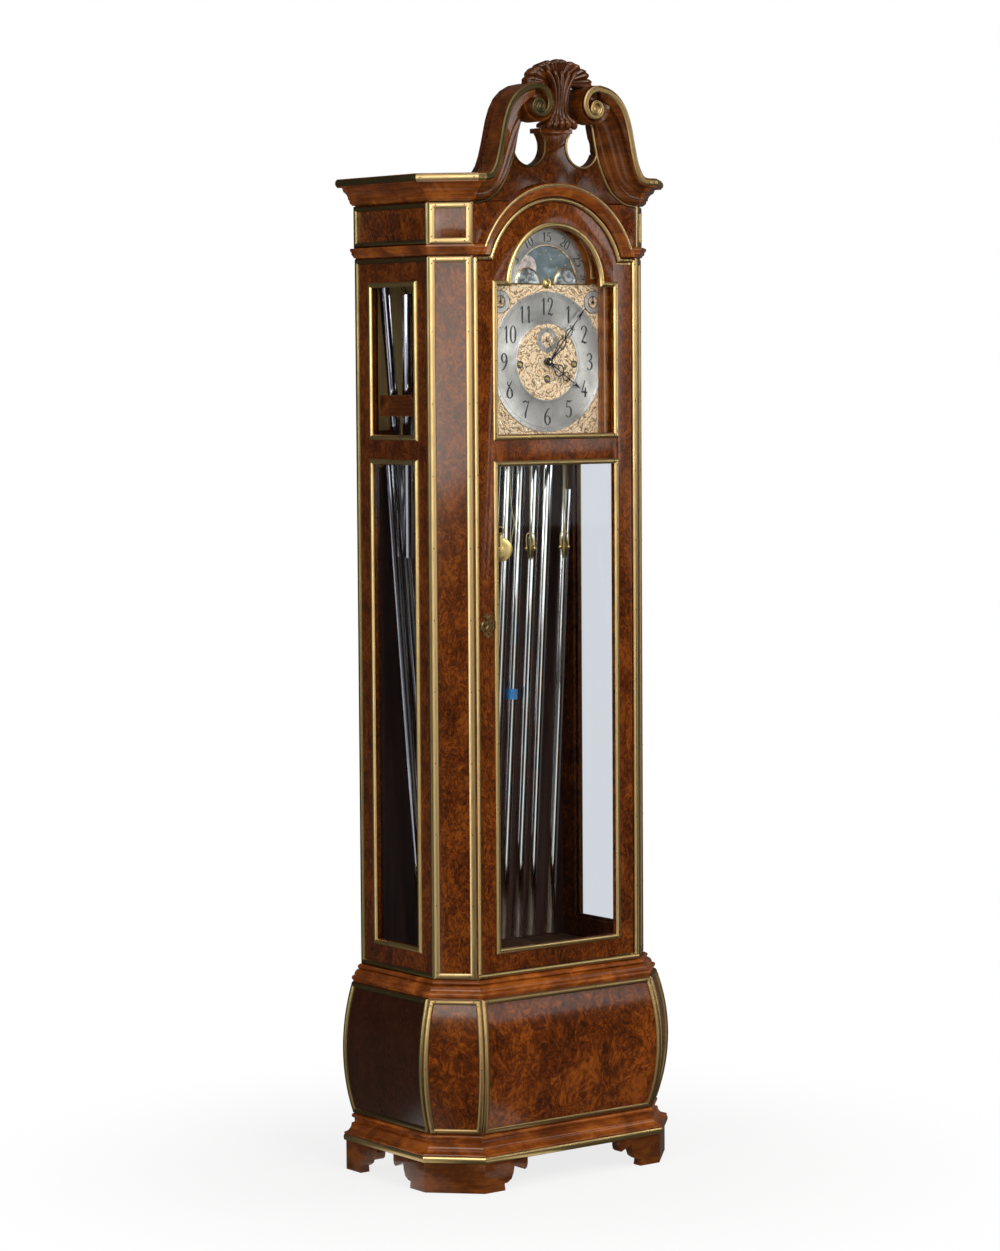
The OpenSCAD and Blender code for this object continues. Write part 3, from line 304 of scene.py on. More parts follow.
def run_walnut(name, tone=0.9, gloss=0.2, along=(0.05, 0.05, 1)):
    """Straight-grained walnut of the mouldings, its streaks drawn out along their run."""
    mid, bright = own_colour("run_mid") * tone, own_colour("run_bright") * tone
    mat, shader = start(name)
    streaks = noise(mat, mapped(mat, along), 260, 5, 0.6, 0.4)
    clouds = noise(mat, mapped(mat, (1, 1, 1.6)), 13, 4, 0.6, 0.8)
    colour = ramp(mat, weighed(mat, streaks, 0.3, clouds),
                  ((0.30, mid * 0.4), (0.46, mid), (0.60, bright), (0.8, bright * 1.2)))
    pores = noise(mat, mapped(mat, (0.09, 0.09, 1)), 900, 2, 0.6)
    colour = mixed(mat, spread(mat, pores, 0.5, 0.75, 0.0, 0.4), colour, mid * 0.2)
    feed(mat, shader, {**POLISH, "Base Color": colour, "Coat Roughness": 0.1,
                       "Specular IOR Level": 0.16, "Normal": bumped(mat, pores, 0.06, 0.0004),
                       "Roughness": spread(mat, clouds, 0.3, 0.7, gloss, gloss + 0.1)})
    return mat


def metal(name, colour, dull, rough, patch=14.0, scratches=0.06, metallic=1.0):
    """Metal with duller patches and fine wear; its colour may be the name of a setting."""
    colour = own_colour(colour) if isinstance(colour, str) else Vector(colour)
    mat, shader = start(name)
    cloud = noise(mat, mapped(mat), patch, 6, 0.6)
    fine = noise(mat, mapped(mat, (1, 1, 0.15)), 700, 3, 0.6)
    tint = mixed(mat, spread(mat, cloud, 0.38, 0.66, 0.0, 0.75), colour, colour * dull)
    feed(mat, shader, {"Base Color": tint, "Metallic": metallic,
                       "Roughness": spread(mat, cloud, 0.3, 0.7, rough, rough + 0.16),
                       "Normal": bumped(mat, fine, scratches, 0.0004)})
    return mat


def coated(name, pattern, stops, rough, bump, metallic=0.0):
    """A coat whose colour and relief follow one pattern of (stretch, then what noise takes);
    bump is (strength, distance), and rough is one number or the two that it runs between."""
    mat, shader = start(name)
    field = noise(mat, mapped(mat, pattern[0]), *pattern[1:])
    if isinstance(rough, tuple):
        rough = spread(mat, field, 0.3, 0.7, *rough)
    feed(mat, shader, {"Base Color": ramp(mat, field, stops), "Metallic": metallic,
                       "Roughness": rough, "Normal": bumped(mat, field, *bump)})
    return mat


def painted_sky(name):
    """Cloudy paint on the moon disc."""
    sky = own_colour("sky")
    return coated(name, ((1, 1, 1.6), 30, 5, 0.55, 0.6),
                  ((0.34, sky * 0.7), (0.5, sky), (0.62, sky * 1.5), (0.75, (0.42, 0.44, 0.43))),
                  0.45, (0.05, 0.0003))


def clear_glass(name, tint=(0.97, 0.985, 0.98, 1)):
    """Thin clear glass: what lies behind shows straight through, with the gloss of its faces."""
    mat = blank(name)
    through = add(mat, "BsdfTransparent", {0: tint}).outputs[0]
    smears = spread(mat, noise(mat, mapped(mat), 9, 4), 0.3, 0.7, 0.0, 0.03)
    gloss = add(mat, "BsdfGlossy", {"Roughness": smears}).outputs[0]
    front = arithmetic(mat, "SUBTRACT", 1.0, add(mat, "NewGeometry").outputs["Backfacing"])
    edge = arithmetic(mat, "MULTIPLY", add(mat, "Fresnel", {0: 1.2}).outputs[0], front)
    shown = add(mat, "MixShader", {0: edge, 1: through, 2: gloss}).outputs[0]
    add(mat, "OutputMaterial", {0: shown})
    return mat


def interior_board(name):
    """The back: stained dark, with its inner face left raw and yellow behind the movement."""
    mat, shader = start(name)
    grain = noise(mat, mapped(mat, (1, 1, 0.05)), 70, 6, 0.6, 0.6)
    stained = ramp(mat, grain, ((0.3, (0.026, 0.008, 0.005)), (0.7, (0.080, 0.024, 0.013))))
    raw = ramp(mat, grain, ((0.3, (0.92, 0.60, 0.16)), (0.7, (1.0, 0.78, 0.32))))
    level = (TRUNK_Z + WINDOWS[1][0] - 60) * MM
    above = spread(mat, axis(mat, position(mat), 2), level, level + 0.004, 0.0, 1.0)
    facing = axis(mat, add(mat, "NewGeometry").outputs["Normal"], 1)
    share = arithmetic(mat, "MULTIPLY", above, arithmetic(mat, "LESS_THAN", facing, -0.5))
    feed(mat, shader, {"Base Color": mixed(mat, share, stained, raw), "Roughness": 0.6,
                       "Normal": bumped(mat, grain, 0.15, 0.0006)})
    return mat


def twisted_cable(name):
    """Stranded cable: fine strands wind round it along its own UV map."""
    mat, shader = start(name)
    along = add(mat, "UVMap", uv_map="run").outputs[0]
    wound = add(mat, "Mapping", {0: along, 2: (0, 0, 0.62)}).outputs[0]
    strands = add(mat, "TexWave", {"Vector": wound, "Scale": 2.2, "Distortion": 0.4,
                                   "Detail": 1.0}).outputs[1]
    colour = ramp(mat, strands, ((0.1, (0.16, 0.13, 0.045)), (0.6, (0.46, 0.40, 0.19)),
                                 (0.95, (0.62, 0.57, 0.33))))
    dulled = spread(mat, noise(mat, mapped(mat), 60, 3), 0.35, 0.7, 0.0, 0.5)
    feed(mat, shader, {"Base Color": mixed(mat, dulled, colour, (0.30, 0.24, 0.09)),
                       "Roughness": 0.45, "Metallic": 0.25,
                       "Normal": bumped(mat, strands, 0.5, 0.0004)})
    return mat


def engraved_gilt(name):
    """Gilt brass engraved all over with leafy scrolls, matted between them."""
    mat, shader = start(name)
    gilt = own_colour("gilt")
    flat = mapped(mat, (1, 0.001, 1), (0, 0, -(DIAL_Z + TRUNK_Z) * MM))
    drift = add(mat, "TexNoise", {"Vector": flat, "Scale": 34.0, "Detail": 2.0}).outputs[1]
    bent = vectors(mat, "ADD", flat, vectors(mat, "MULTIPLY", drift, (0.03,) * 3))
    curls = add(mat, "TexWave", {"Vector": bent, "Scale": 30.0, "Distortion": 12.0,
                "Detail": 2.0, "Detail Scale": 2.2, "Detail Roughness": 0.6},
                wave_type="RINGS", rings_direction="SPHERICAL").outputs[1]
    leaf = add(mat, "TexVoronoi", {"Vector": bent, "Scale": 115.0}).outputs[0]
    figure = arithmetic(mat, "MULTIPLY", curls, spread(mat, leaf, 0.05, 0.6, 1.1, 0.45))
    grains = noise(mat, mapped(mat), 1400, 2)
    colour = ramp(mat, figure, ((0.03, gilt * 0.26), (0.13, gilt * 0.75), (0.32, gilt),
                                (0.7, (1.0, 0.82, 0.60))))
    height = arithmetic(mat, "MULTIPLY_ADD", grains, 0.15, figure)
    feed(mat, shader, {"Base Color": colour, "Metallic": 0.42,
                       "Roughness": spread(mat, figure, 0.1, 0.7, 0.5, 0.26),
                       "Normal": bumped(mat, height, 0.7, 0.0011)})
    return mat


def spun_silver(name):
    """Silvered brass brushed in circles round the dial's centre."""
    mat, shader = start(name)
    middle = (DIAL_Z + TRUNK_Z) * MM
    around = mapped(mat, at=(0, middle, 0), turn=(math.pi / 2, 0, 0))
    radius = vectors(mat, "LENGTH", vectors(mat, "MULTIPLY", around, (1, 1, 0)))
    lines = add(mat, "TexNoise", {"W": arithmetic(mat, "MULTIPLY", radius, 2600.0), "Detail": 3.0,
                "Scale": 1.0}, noise_dimensions="1D").outputs[0]
    cloud = noise(mat, mapped(mat), 16, 4, 0.55, 0.8)
    spots = noise(mat, mapped(mat), 260, 3)
    colour = ramp(mat, weighed(mat, lines, 0.25, cloud), (
        (0.30, (0.37, 0.345, 0.33)), (0.5, (0.565, 0.53, 0.51)), (0.68, (0.83, 0.79, 0.765))))
    colour = mixed(mat, spread(mat, spots, 0.62, 0.72, 0, 0.4), colour, (0.12, 0.11, 0.10))
    out = vectors(mat, "SUBTRACT", position(mat), (0, 0, middle))
    radial = vectors(mat, "NORMALIZE", vectors(mat, "MULTIPLY", out, (1, 0, 1)))
    feed(mat, shader, {"Base Color": colour, "Metallic": 0.85, "Anisotropic": 0.7,
                       "Tangent": radial, "Roughness": spread(mat, cloud, 0.3, 0.7, 0.34, 0.44),
                       "Normal": bumped(mat, lines, 0.08, 0.0002)})
    return mat


EVEN = (1, 1, 1)
# What makes each finish, and what it is given after the material's name
FINISHES = {
    "burl_walnut": (walnut, 40.0, 0.7, 0.95, 0.2, 7.0, 0.55),
    "board_walnut": (walnut, 40.0, 0.8, 0.52, 0.2, 7.0),
    "door_walnut": (walnut, 38.0, 0.6, 1.0, 0.22, 9.0),
    "side_walnut": (walnut, 44.0, 0.7, 0.8, 0.3, 8.0),
    # The base's sides, behind its canted corners, are darkened as painted shade
    "base_walnut": (walnut, 18.0, 0.8, 1.15, 0.22, 14.0, 0.0, -0.086),
    "carved_walnut": (run_walnut,),
    "neck_walnut": (run_walnut, 0.44, 0.18),
    "waist_walnut": (run_walnut, 1.15, 0.2),
    "plain_walnut": (run_walnut, 0.55, 0.3),
    "dark_carving": (run_walnut, 0.40, 0.14, (1, 1, 0.08)),
    "interior_board": (interior_board,),
    "plain_wood": (coated, ((0.05, 1, 1), 70, 6, 0.6, 0.6),
                   ((0.3, (0.045, 0.018, 0.008)), (0.7, (0.13, 0.056, 0.024))),
                   0.55, (0.15, 0.0006)),
    "case_brass": (metal, "brass", 0.62, 0.24),
    "pale_brass": (metal, "pale_brass", 0.8, 0.3),
    "olive_brass": (metal, "olive_brass", 0.6, 0.26),
    # Brass pins darkened as painted shade round their heads
    "pin_brass": (metal, (0.10, 0.065, 0.03), 0.4, 0.35, 90.0),
    "neck_brass": (metal, (0.36, 0.24, 0.10), 0.6, 0.34),
    "shaded_brass": (metal, (0.085, 0.062, 0.026), 0.6, 0.34),
    "plain_brass": (metal, (0.70, 0.50, 0.20), 0.6, 0.22, 30.0),
    "mirror_brass": (metal, (0.62, 0.38, 0.17), 0.45, 0.2, 60.0, 0.05, 0.55),
    "dark_brass": (metal, (0.34, 0.22, 0.09), 0.35, 0.24, 90.0, 0.1),
    "steel": (metal, (0.42, 0.43, 0.45), 0.7, 0.3, 50.0),
    "chromed_tube": (metal, (0.88, 0.88, 0.87), 0.7, 0.02, 6.0, 0.02),
    "blued_steel": (coated, (EVEN, 180, 4),
                    ((0.35, (0.006, 0.007, 0.010)), (0.75, (0.022, 0.024, 0.032))),
                    (0.25, 0.42), (0.03, 0.0002), 0.6),
    "clear_glass": (clear_glass,),
    "side_glass": (clear_glass, (0.83, 0.84, 0.875, 1)),
    "cable": (twisted_cable,),
    "gilt_brass": (engraved_gilt,),
    "silvered": (spun_silver,),
    "painted_sky": (painted_sky,),
    # Silvered half globes with darker engraved patches
    "globe_silver": (coated, (EVEN, 70, 5, 0.55, 0.5),
                     ((0.44, (0.62, 0.62, 0.62)), (0.49, (0.20, 0.20, 0.21)),
                      (0.60, (0.30, 0.30, 0.31)), (0.66, (0.55, 0.55, 0.56))),
                     0.3, (0.4, 0.0005), 0.8),
    # Pinkish white paint with soft grey patches
    "moon_paint": (coated, (EVEN, 75, 4, 0.5, 0.4),
                   ((0.38, (0.33, 0.27, 0.26)), (0.5, (0.58, 0.46, 0.43)),
                    (0.64, (0.72, 0.60, 0.56))), 0.5, (0.1, 0.0003)),
    # Black engraver's wax, slightly worn
    "black_wax": (coated, (EVEN, 320, 4),
                  ((0.4, (0.010, 0.010, 0.011)), (0.8, (0.05, 0.05, 0.052))),
                  0.5, (0.05, 0.0002)),
    "tan_cord": (coated, ((1, 1, 0.4), 900, 3),
                 ((0.3, (0.22, 0.11, 0.03)), (0.7, (0.52, 0.33, 0.13))), 0.8, (0.4, 0.0004)),
    "blue_tape": (coated, ((1, 1, 0.3), 240, 4),
                  ((0.3, (0.02, 0.16, 0.45)), (0.7, (0.05, 0.28, 0.62))), 0.55, (0.3, 0.0006)),
}


def finish(name):
    """The material of that name, made the first time that it is asked for."""
    own = "clock_" + name
    make, *given = FINISHES[name]
    return bpy.data.materials.get(own) or make(own, *given)


def whole(bm):
    """Everything in a mesh, for an operator."""
    return list(bm.verts) + list(bm.edges) + list(bm.faces)


def among(result, kind):
    """The vertices, edges or faces among what an operator gives back."""
    return [g for g in result if isinstance(g, kind)]


def solid(node):
    """A node's solid, merged, in the case's millimetres."""
    bm = bmesh.new()
    bm.from_mesh(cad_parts[node].data)
    bmesh.ops.transform(bm, matrix=IN_CASE.inverted(), verts=bm.verts)
    bmesh.ops.remove_doubles(bm, verts=bm.verts, dist=0.005)
    return bm


def laid(bm, name, finish_name, sharp=32.0):
    """Turns a bmesh in case millimetres into an object in its place, with its finish."""
    bmesh.ops.recalc_face_normals(bm, faces=bm.faces)
    mesh = bpy.data.meshes.new(name)
    bm.to_mesh(mesh)
    bm.free()
    mesh.transform(IN_CASE)
    mesh.materials.append(finish(finish_name))
    mesh.shade_smooth()
    mesh.set_sharp_from_angle(angle=math.radians(sharp))
    obj = bpy.data.objects.new(name, mesh)
    bpy.context.collection.objects.link(obj)
    return obj


def piece(bm, name, finish_name, body="case", replaces=(), sharp=32.0, weld=0.02):
    """A finished piece that rides on a body and stands in for the solids it replaces."""
    bmesh.ops.remove_doubles(bm, verts=bm.verts, dist=weld)
    obj = laid(bm, name, finish_name, sharp)
    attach(obj, body)
    if replaces:
        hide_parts(*replaces)
    return obj


def softened(node, name, finish_name, body="case", width=None):
    """A copy of a board's solid with its sharp edges rounded over."""
    width = bpy.context.scene.clock_case.soft if width is None else width
    bm = solid(node)
    bmesh.ops.dissolve_limit(bm, angle_limit=math.radians(1), verts=bm.verts, edges=bm.edges)
    sharp = [e for e in bm.edges if len(e.link_faces) == 2
             and e.calc_face_angle(0) > math.radians(30) and e.calc_length() > 2 * width]
    bmesh.ops.bevel(bm, geom=sharp, offset=width, offset_type="OFFSET", segments=2, profile=0.5,
                    affect="EDGES", material=-1, clamp_overlap=True)
    return piece(bm, name, finish_name, body, (node,), weld=0.001)


def bare(node, finish_name):
    """Gives a solid that shows as it is its finish."""
    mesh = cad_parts[node].data
    mesh.materials.clear()
    mesh.materials.append(finish(finish_name))


def station(origin, side, normal):
    """Where a section stands: its first axis along side, its second along normal."""
    side, normal = Vector(side), Vector(normal)
    along = side.cross(normal)
    turned = Matrix((side, normal, along)).transposed().to_4x4()
    return Matrix.Translation(origin) @ turned


def swept(bm, outline, stations, closed=False):
    """Sweeps a closed outline through the stations by extruding its face from one to the next."""
    face = bm.faces.new([bm.verts.new(stations[0] @ Vector((u, v, 0))) for u, v in outline])
    first = face
    path = list(stations) + ([stations[0]] if closed else [])
    for last, here in zip(path, path[1:]):
        grown = bmesh.ops.extrude_face_region(bm, geom=[face])["geom"]
        face = among(grown, BMFace)[0]
        bmesh.ops.transform(bm, matrix=here @ last.inverted(), verts=among(grown, BMVert))
    if closed:
        bmesh.ops.delete(bm, geom=[f for f in (first, face) if f.is_valid], context="FACES_ONLY")


def mitred(sides):
    """The side of a section where a run ends or two runs meet."""
    if len(sides) == 1:
        return sides[0]
    return (sides[0] + sides[1]) / (1 + sides[0].dot(sides[1]))


def route(points, normals, closed=False):
    """Stations along a path of points on a surface, mitred where the path turns."""
    count = len(points)
    made = []
    for i, (point, normal) in enumerate(zip(points, normals)):
        normal = Vector(normal).normalized()
        before = Vector(points[i - 1]) if i or closed else None
        after = Vector(points[(i + 1) % count]) if i + 1 < count or closed else None
        here = Vector(point)
        ways = [(b - a).normalized() for a, b in ((before, here), (here, after)) if a and b]
        made.append(station(here, mitred([normal.cross(w).normalized() for w in ways]), normal))
    return made


def half_round(width, crown):
    """The curve of a half-round strip: (across, up) from one edge to the other."""
    return [(-width / 2 * math.cos(math.pi * i / 8), crown * math.sin(math.pi * i / 8))
            for i in range(9)]


def arc(cx, cy, r, a0, a1, steps):
    """Points on an arc, its angles in degrees."""
    return [(cx + r * math.cos(math.radians(a0 + (a1 - a0) * i / steps)),
             cy + r * math.sin(math.radians(a0 + (a1 - a0) * i / steps)))
            for i in range(steps + 1)]


def round_case():
    """Stations round the case: back, canted corners and front, for sections of
    (outward offset, height)."""
    right = [((ARRIS_X, 0, 0), (MITRE, -1, 0)), ((SIDE_X, CANT, 0), (1, -MITRE, 0)),
             ((SIDE_X, CASE_D, 0), (1, 0, 0))]
    left = [((-o[0], o[1], o[2]), (-s[0], s[1], s[2])) for o, s in reversed(right)]
    return [station(o, s, UP) for o, s in left + right]


def moulding(bm, profile, back):
    """A moulding run round the case; its section is closed at an offset of back."""
    low, high = profile[0][1], profile[-1][1]
    swept(bm, [(back, low)] + list(profile) + [(back, high)], round_case())


def bowl(bm, at, normal, r, rise, rings=3, steps=10):
    """A domed head standing on a surface."""
    dome = bmesh.ops.create_uvsphere(bm, u_segments=steps, v_segments=2 * rings, radius=r)["verts"]
    turn = UP.rotation_difference(Vector(normal)).to_matrix().to_4x4()
    bmesh.ops.transform(bm, matrix=Matrix.Translation(at) @ turn @ Matrix.Diagonal(
        (1, 1, rise / r, 1)), verts=dome)


def merge(bm, other):
    """Moves all of another mesh into this one."""
    joined = bpy.data.meshes.new("joined")
    other.to_mesh(joined)
    other.free()
    bm.from_mesh(joined)
    bpy.data.meshes.remove(joined)


def mirror_x(bm):
    """Adds the mirror image across the middle of the case."""
    copy = bmesh.ops.duplicate(bm, geom=whole(bm))["geom"]
    bmesh.ops.scale(bm, vec=(-1, 1, 1), verts=among(copy, BMVert))
    bmesh.ops.reverse_faces(bm, faces=among(copy, BMFace))


def base_offset(z):
    """How far the bulging base stands out at a height over the floor."""
    r = (BASE_H ** 2 / 4 + BULGE ** 2) / (2 * BULGE)
    rise = z - BASE_Z - BASE_H / 2
    return BASE_EDGE + BULGE - r + math.sqrt(r * r - rise * rise), math.asin(rise / r)


def front_arris(d):
    """The edge between the front and the canted corner, at an outward offset."""
    return Vector((ARRIS_X + MITRE * d, -d, 0))


def side_arris(d):
    """The edge between the canted corner and the side."""
    return Vector((SIDE_X + d, CANT - MITRE * d, 0))


def back_corner(d):
    return Vector((SIDE_X + d, CASE_D, 0))


def cut_level(bm, z):
    """Cuts away what lies below a level and closes the cut."""
    cut = bmesh.ops.bisect_plane(bm, geom=whole(bm), dist=1e-4, plane_co=(0, 0, z),
                                 plane_no=(0, 0, 1), clear_inner=True)["geom_cut"]
    bmesh.ops.holes_fill(bm, edges=among(cut, BMEdge), sides=0)


def plinth_section():
    out = PLINTH_OUT
    section = [(out - 3, 64), (out - 3, 79), (out - 1.6, 79.6), (out - 1, 81), (out - 1.6, 82.4),
               (out - 4, 83)] + arc(out - 4, 100, 17, -90, -180, 10)[1:]
    section += [(27, 100.6), (22, 101.2), (21, 102), (21, 108), (22, 110.2)]
    section += arc(24, 115.5, 4.5, -80, 90, 8) + [(22, 120.6), (22, 121)]
    return [(u, floor_level(v)) for u, v in section]


def waist_section():
    section = [(21, 409)] + arc(20, 417, 5, -72, 78, 8) + [(19.5, 422.4)]
    section += arc(5, 422, 13, 4, 74, 8) + [(5, 435.3)] + arc(5, 439.5, 4, -80, 80, 7) + [(4, 445)]
    return [(u, floor_level(v)) for u, v in section]


def mid_section():
    return [(2, MID_Z), (3.5, MID_Z + 3.6), (6.6, MID_Z + 5.6), (7.4, MID_Z + 6.4),
            (7.6, MID_Z + 11), (9, MID_Z + 13), (11, MID_Z + 14), (11.4, MID_Z + 17),
            (11, MID_Z + MID_H)]


def cornice_section():
    z, out = CORNICE_Z, CORNICE_OUT
    section = [(4, z)] + arc(4, z + 10, 8, -60, 0, 6) + [(12.4, z + 11.6), (15, z + 12)]
    section += arc(out - 12, z + 12, 17, 180, 108, 8)
    return section + [(out - 15, z + 33), (out - 14, z + 37), (out - 1, z + 37), (out, z + 38),
                      (out, TOP_Z)]


def arch_stations():
    """Stations round the case's arch, for sections of (radius, height off the front)."""
    turns = [math.radians(10 + 160 * i / 72) for i in range(73)]
    return [station((0, 0, ARCH_Z), (math.cos(a), 0, math.sin(a)), FRONT) for a in turns]


class CLOCK_OT_mouldings(bpy.types.Operator):
    """Run the plinth, base, waist, mid and cornice mouldings round the case"""
    bl_idname = "clock.mouldings"
    bl_label = "Mouldings"

    def execute(self, context):
        bm = bmesh.new()
        moulding(bm, plinth_section(), -8)
        piece(bm, "plinth", "waist_walnut", replaces=("plinth_moulding",), sharp=38)
        bm = bmesh.new()
        steps = [BASE_Z + BASE_H * i / 32 for i in range(33)]
        moulding(bm, [(base_offset(z)[0], floor_level(z)) for z in steps], 4)
        piece(bm, "bombe_base", "base_walnut", replaces=("base_shell",))
        bm = bmesh.new()
        moulding(bm, waist_section(), -18)
        piece(bm, "waist", "waist_walnut", replaces=("waist_moulding",), sharp=38)

        bm = bmesh.new()
        stub = station((196, 0, 0), (0, -1, 0), UP)
        half = round_case()[3:]
        section = mid_section()
        swept(bm, [(-1, MID_Z)] + section + [(-1, MID_Z + MID_H)], [stub] + half)
        mirror_x(bm)
        arch = bmesh.new()
        stretch = (MID_OUT - MID_IN) / MID_H
        swept(arch, [(MID_IN, -1)] + [(MID_IN + (v - MID_Z) * stretch, u) for u, v in section]
              + [(MID_OUT, -1)], arch_stations())
        cut_level(arch, MID_Z)
        merge(bm, arch)
        piece(bm, "mid_mould", "carved_walnut", replaces=("mid_moulding",), sharp=38)

        bm = bmesh.new()
        stub = station((NECK_X, 0, 0), (0, -1, 0), UP)
        section = cornice_section()
        swept(bm, [(-15, CORNICE_Z)] + section + [(-15, TOP_Z)], [stub] + half)
        mirror_x(bm)
        piece(bm, "cornice", "carved_walnut", replaces=("cornice_moulding",), sharp=38)
        return {"FINISHED"}


class CLOCK_OT_boards(bpy.types.Operator):
    """Round the edges of the boards, feet and posts"""
    bl_idname = "clock.boards"
    bl_label = "Boards"

    def execute(self, context):
        for node, finish_name in (("feet", "plain_walnut"), ("side_panel_left", "side_walnut"),
                                  ("side_panel_right", "side_walnut"),
                                  ("corner_posts", "burl_walnut"), ("frieze", "burl_walnut"),
                                  ("pediment_board", "board_walnut"),
                                  ("pediment_cap", "carved_walnut"),
                                  ("dial_mask", "carved_walnut")):
            softened(node, "soft_" + node, finish_name)
        for node, finish_name in (("case_floors", "plain_wood"), ("back_panel", "interior_board"),
                                  ("roof_board", "plain_wood"), ("seatboard", "carved_walnut"),
                                  ("tube_rack", "carved_walnut")):
            bare(node, finish_name)
        bare("side_panes", "side_glass")
        bare("door_panes", "clear_glass")
        return {"FINISHED"}


# How far the last pin of a strip is from its end
END_PIN = 9.0


def strip(run, points, normals, closed=False, width=None, crown=None):
    """A rounded brass strip along a path, with a pin near each corner and at even steps; run
    is the pair of meshes for strips and for pins."""
    case = bpy.context.scene.clock_case
    width = width or case.strip_w
    crown = crown or case.strip_crown
    section = [(-width / 2, -1)] + half_round(width, crown) + [(width / 2, -1)]
    swept(run[0], section, route(points, normals, closed), closed)
    ends = [(Vector(p), Vector(n)) for p, n in zip(points, normals)]
    legs = [[]]
    for (a, na), (b, nb) in zip(ends, ends[1:] + (ends[:1] if closed else [])):
        if legs[-1] and (legs[-1][-1][1] - legs[-1][-1][0]).angle(b - a) > math.radians(25):
            legs.append([])
        legs[-1].append((a, b, na, nb))
    for leg in legs:
        length = sum((step[1] - step[0]).length for step in leg)
        count = max(1, round(length / case.pin_pitch))
        for k in range(count + 1):
            left = min(max(length * k / count, END_PIN), length - END_PIN)
            for a, b, na, nb in leg:
                part = (b - a).length
                if left <= part:
                    normal = na.lerp(nb, left / part).normalized()
                    bowl(run[1], a.lerp(b, left / part) + normal * (crown - 0.25), normal,
                         case.pin_r, 0.8, rings=2, steps=8)
                    break
                left -= part


def flat_frame(run, origin, along, normal, u0, u1, z0, z1, wide=0.0, crown=None):
    """A frame of strip whose outer edge is the rectangle u0..u1 by z0..z1 on a face."""
    width = bpy.context.scene.clock_case.strip_w + wide
    half = width / 2
    origin, along = Vector(origin), Vector(along)
    corners = [origin + along * u + UP * z for u, z in
               ((u0 + half, z0 + half), (u1 - half, z0 + half), (u1 - half, z1 - half),
                (u0 + half, z1 - half))]
    strip(run, corners, [normal] * 4, True, width=width, crown=crown)


def base_frame(run, corner_a, corner_b, normal):
    """A frame that follows one bulging face of the base between two of its corners."""
    half = bpy.context.scene.clock_case.strip_w / 2 + 0.5
    steps = 16
    heights = [BASE_Z + half + (BASE_H - 2 * half) * i / steps for i in range(steps + 1)]
    up_a, up_b, tilt = [], [], []
    for z in heights:
        d, slope = base_offset(z)
        a, b = corner_a(d), corner_b(d)
        way = (b - a).normalized()
        lift = UP * floor_level(z)
        up_a.append(a + way * half + lift)
        up_b.append(b - way * half + lift)
        tilt.append(Vector(normal) * math.cos(slope) + UP * math.sin(slope))
    strip(run, up_a + up_b[::-1], tilt + tilt[::-1], True)


def pair():
    """The two meshes of a run of strips: the strips and their pins."""
    return bmesh.new(), bmesh.new()


def mirror_pair(run):
    mirror_x(run[0])
    mirror_x(run[1])


CANT_WAY = Vector((1, 1, 0)).normalized()
CANT_OUT = Vector((1, -1, 0)).normalized()
CANT_W = CANT * math.sqrt(2)
# The canted corners' strips are wider and flatter; broad ones lie on the cornice and plinth
WIDER, FLAT, BROAD = 2.5, 3.4, 14.0
DOOR_Y = 3.0
POST_X, POST_Z = 212.6, (12.0, 1514.5)


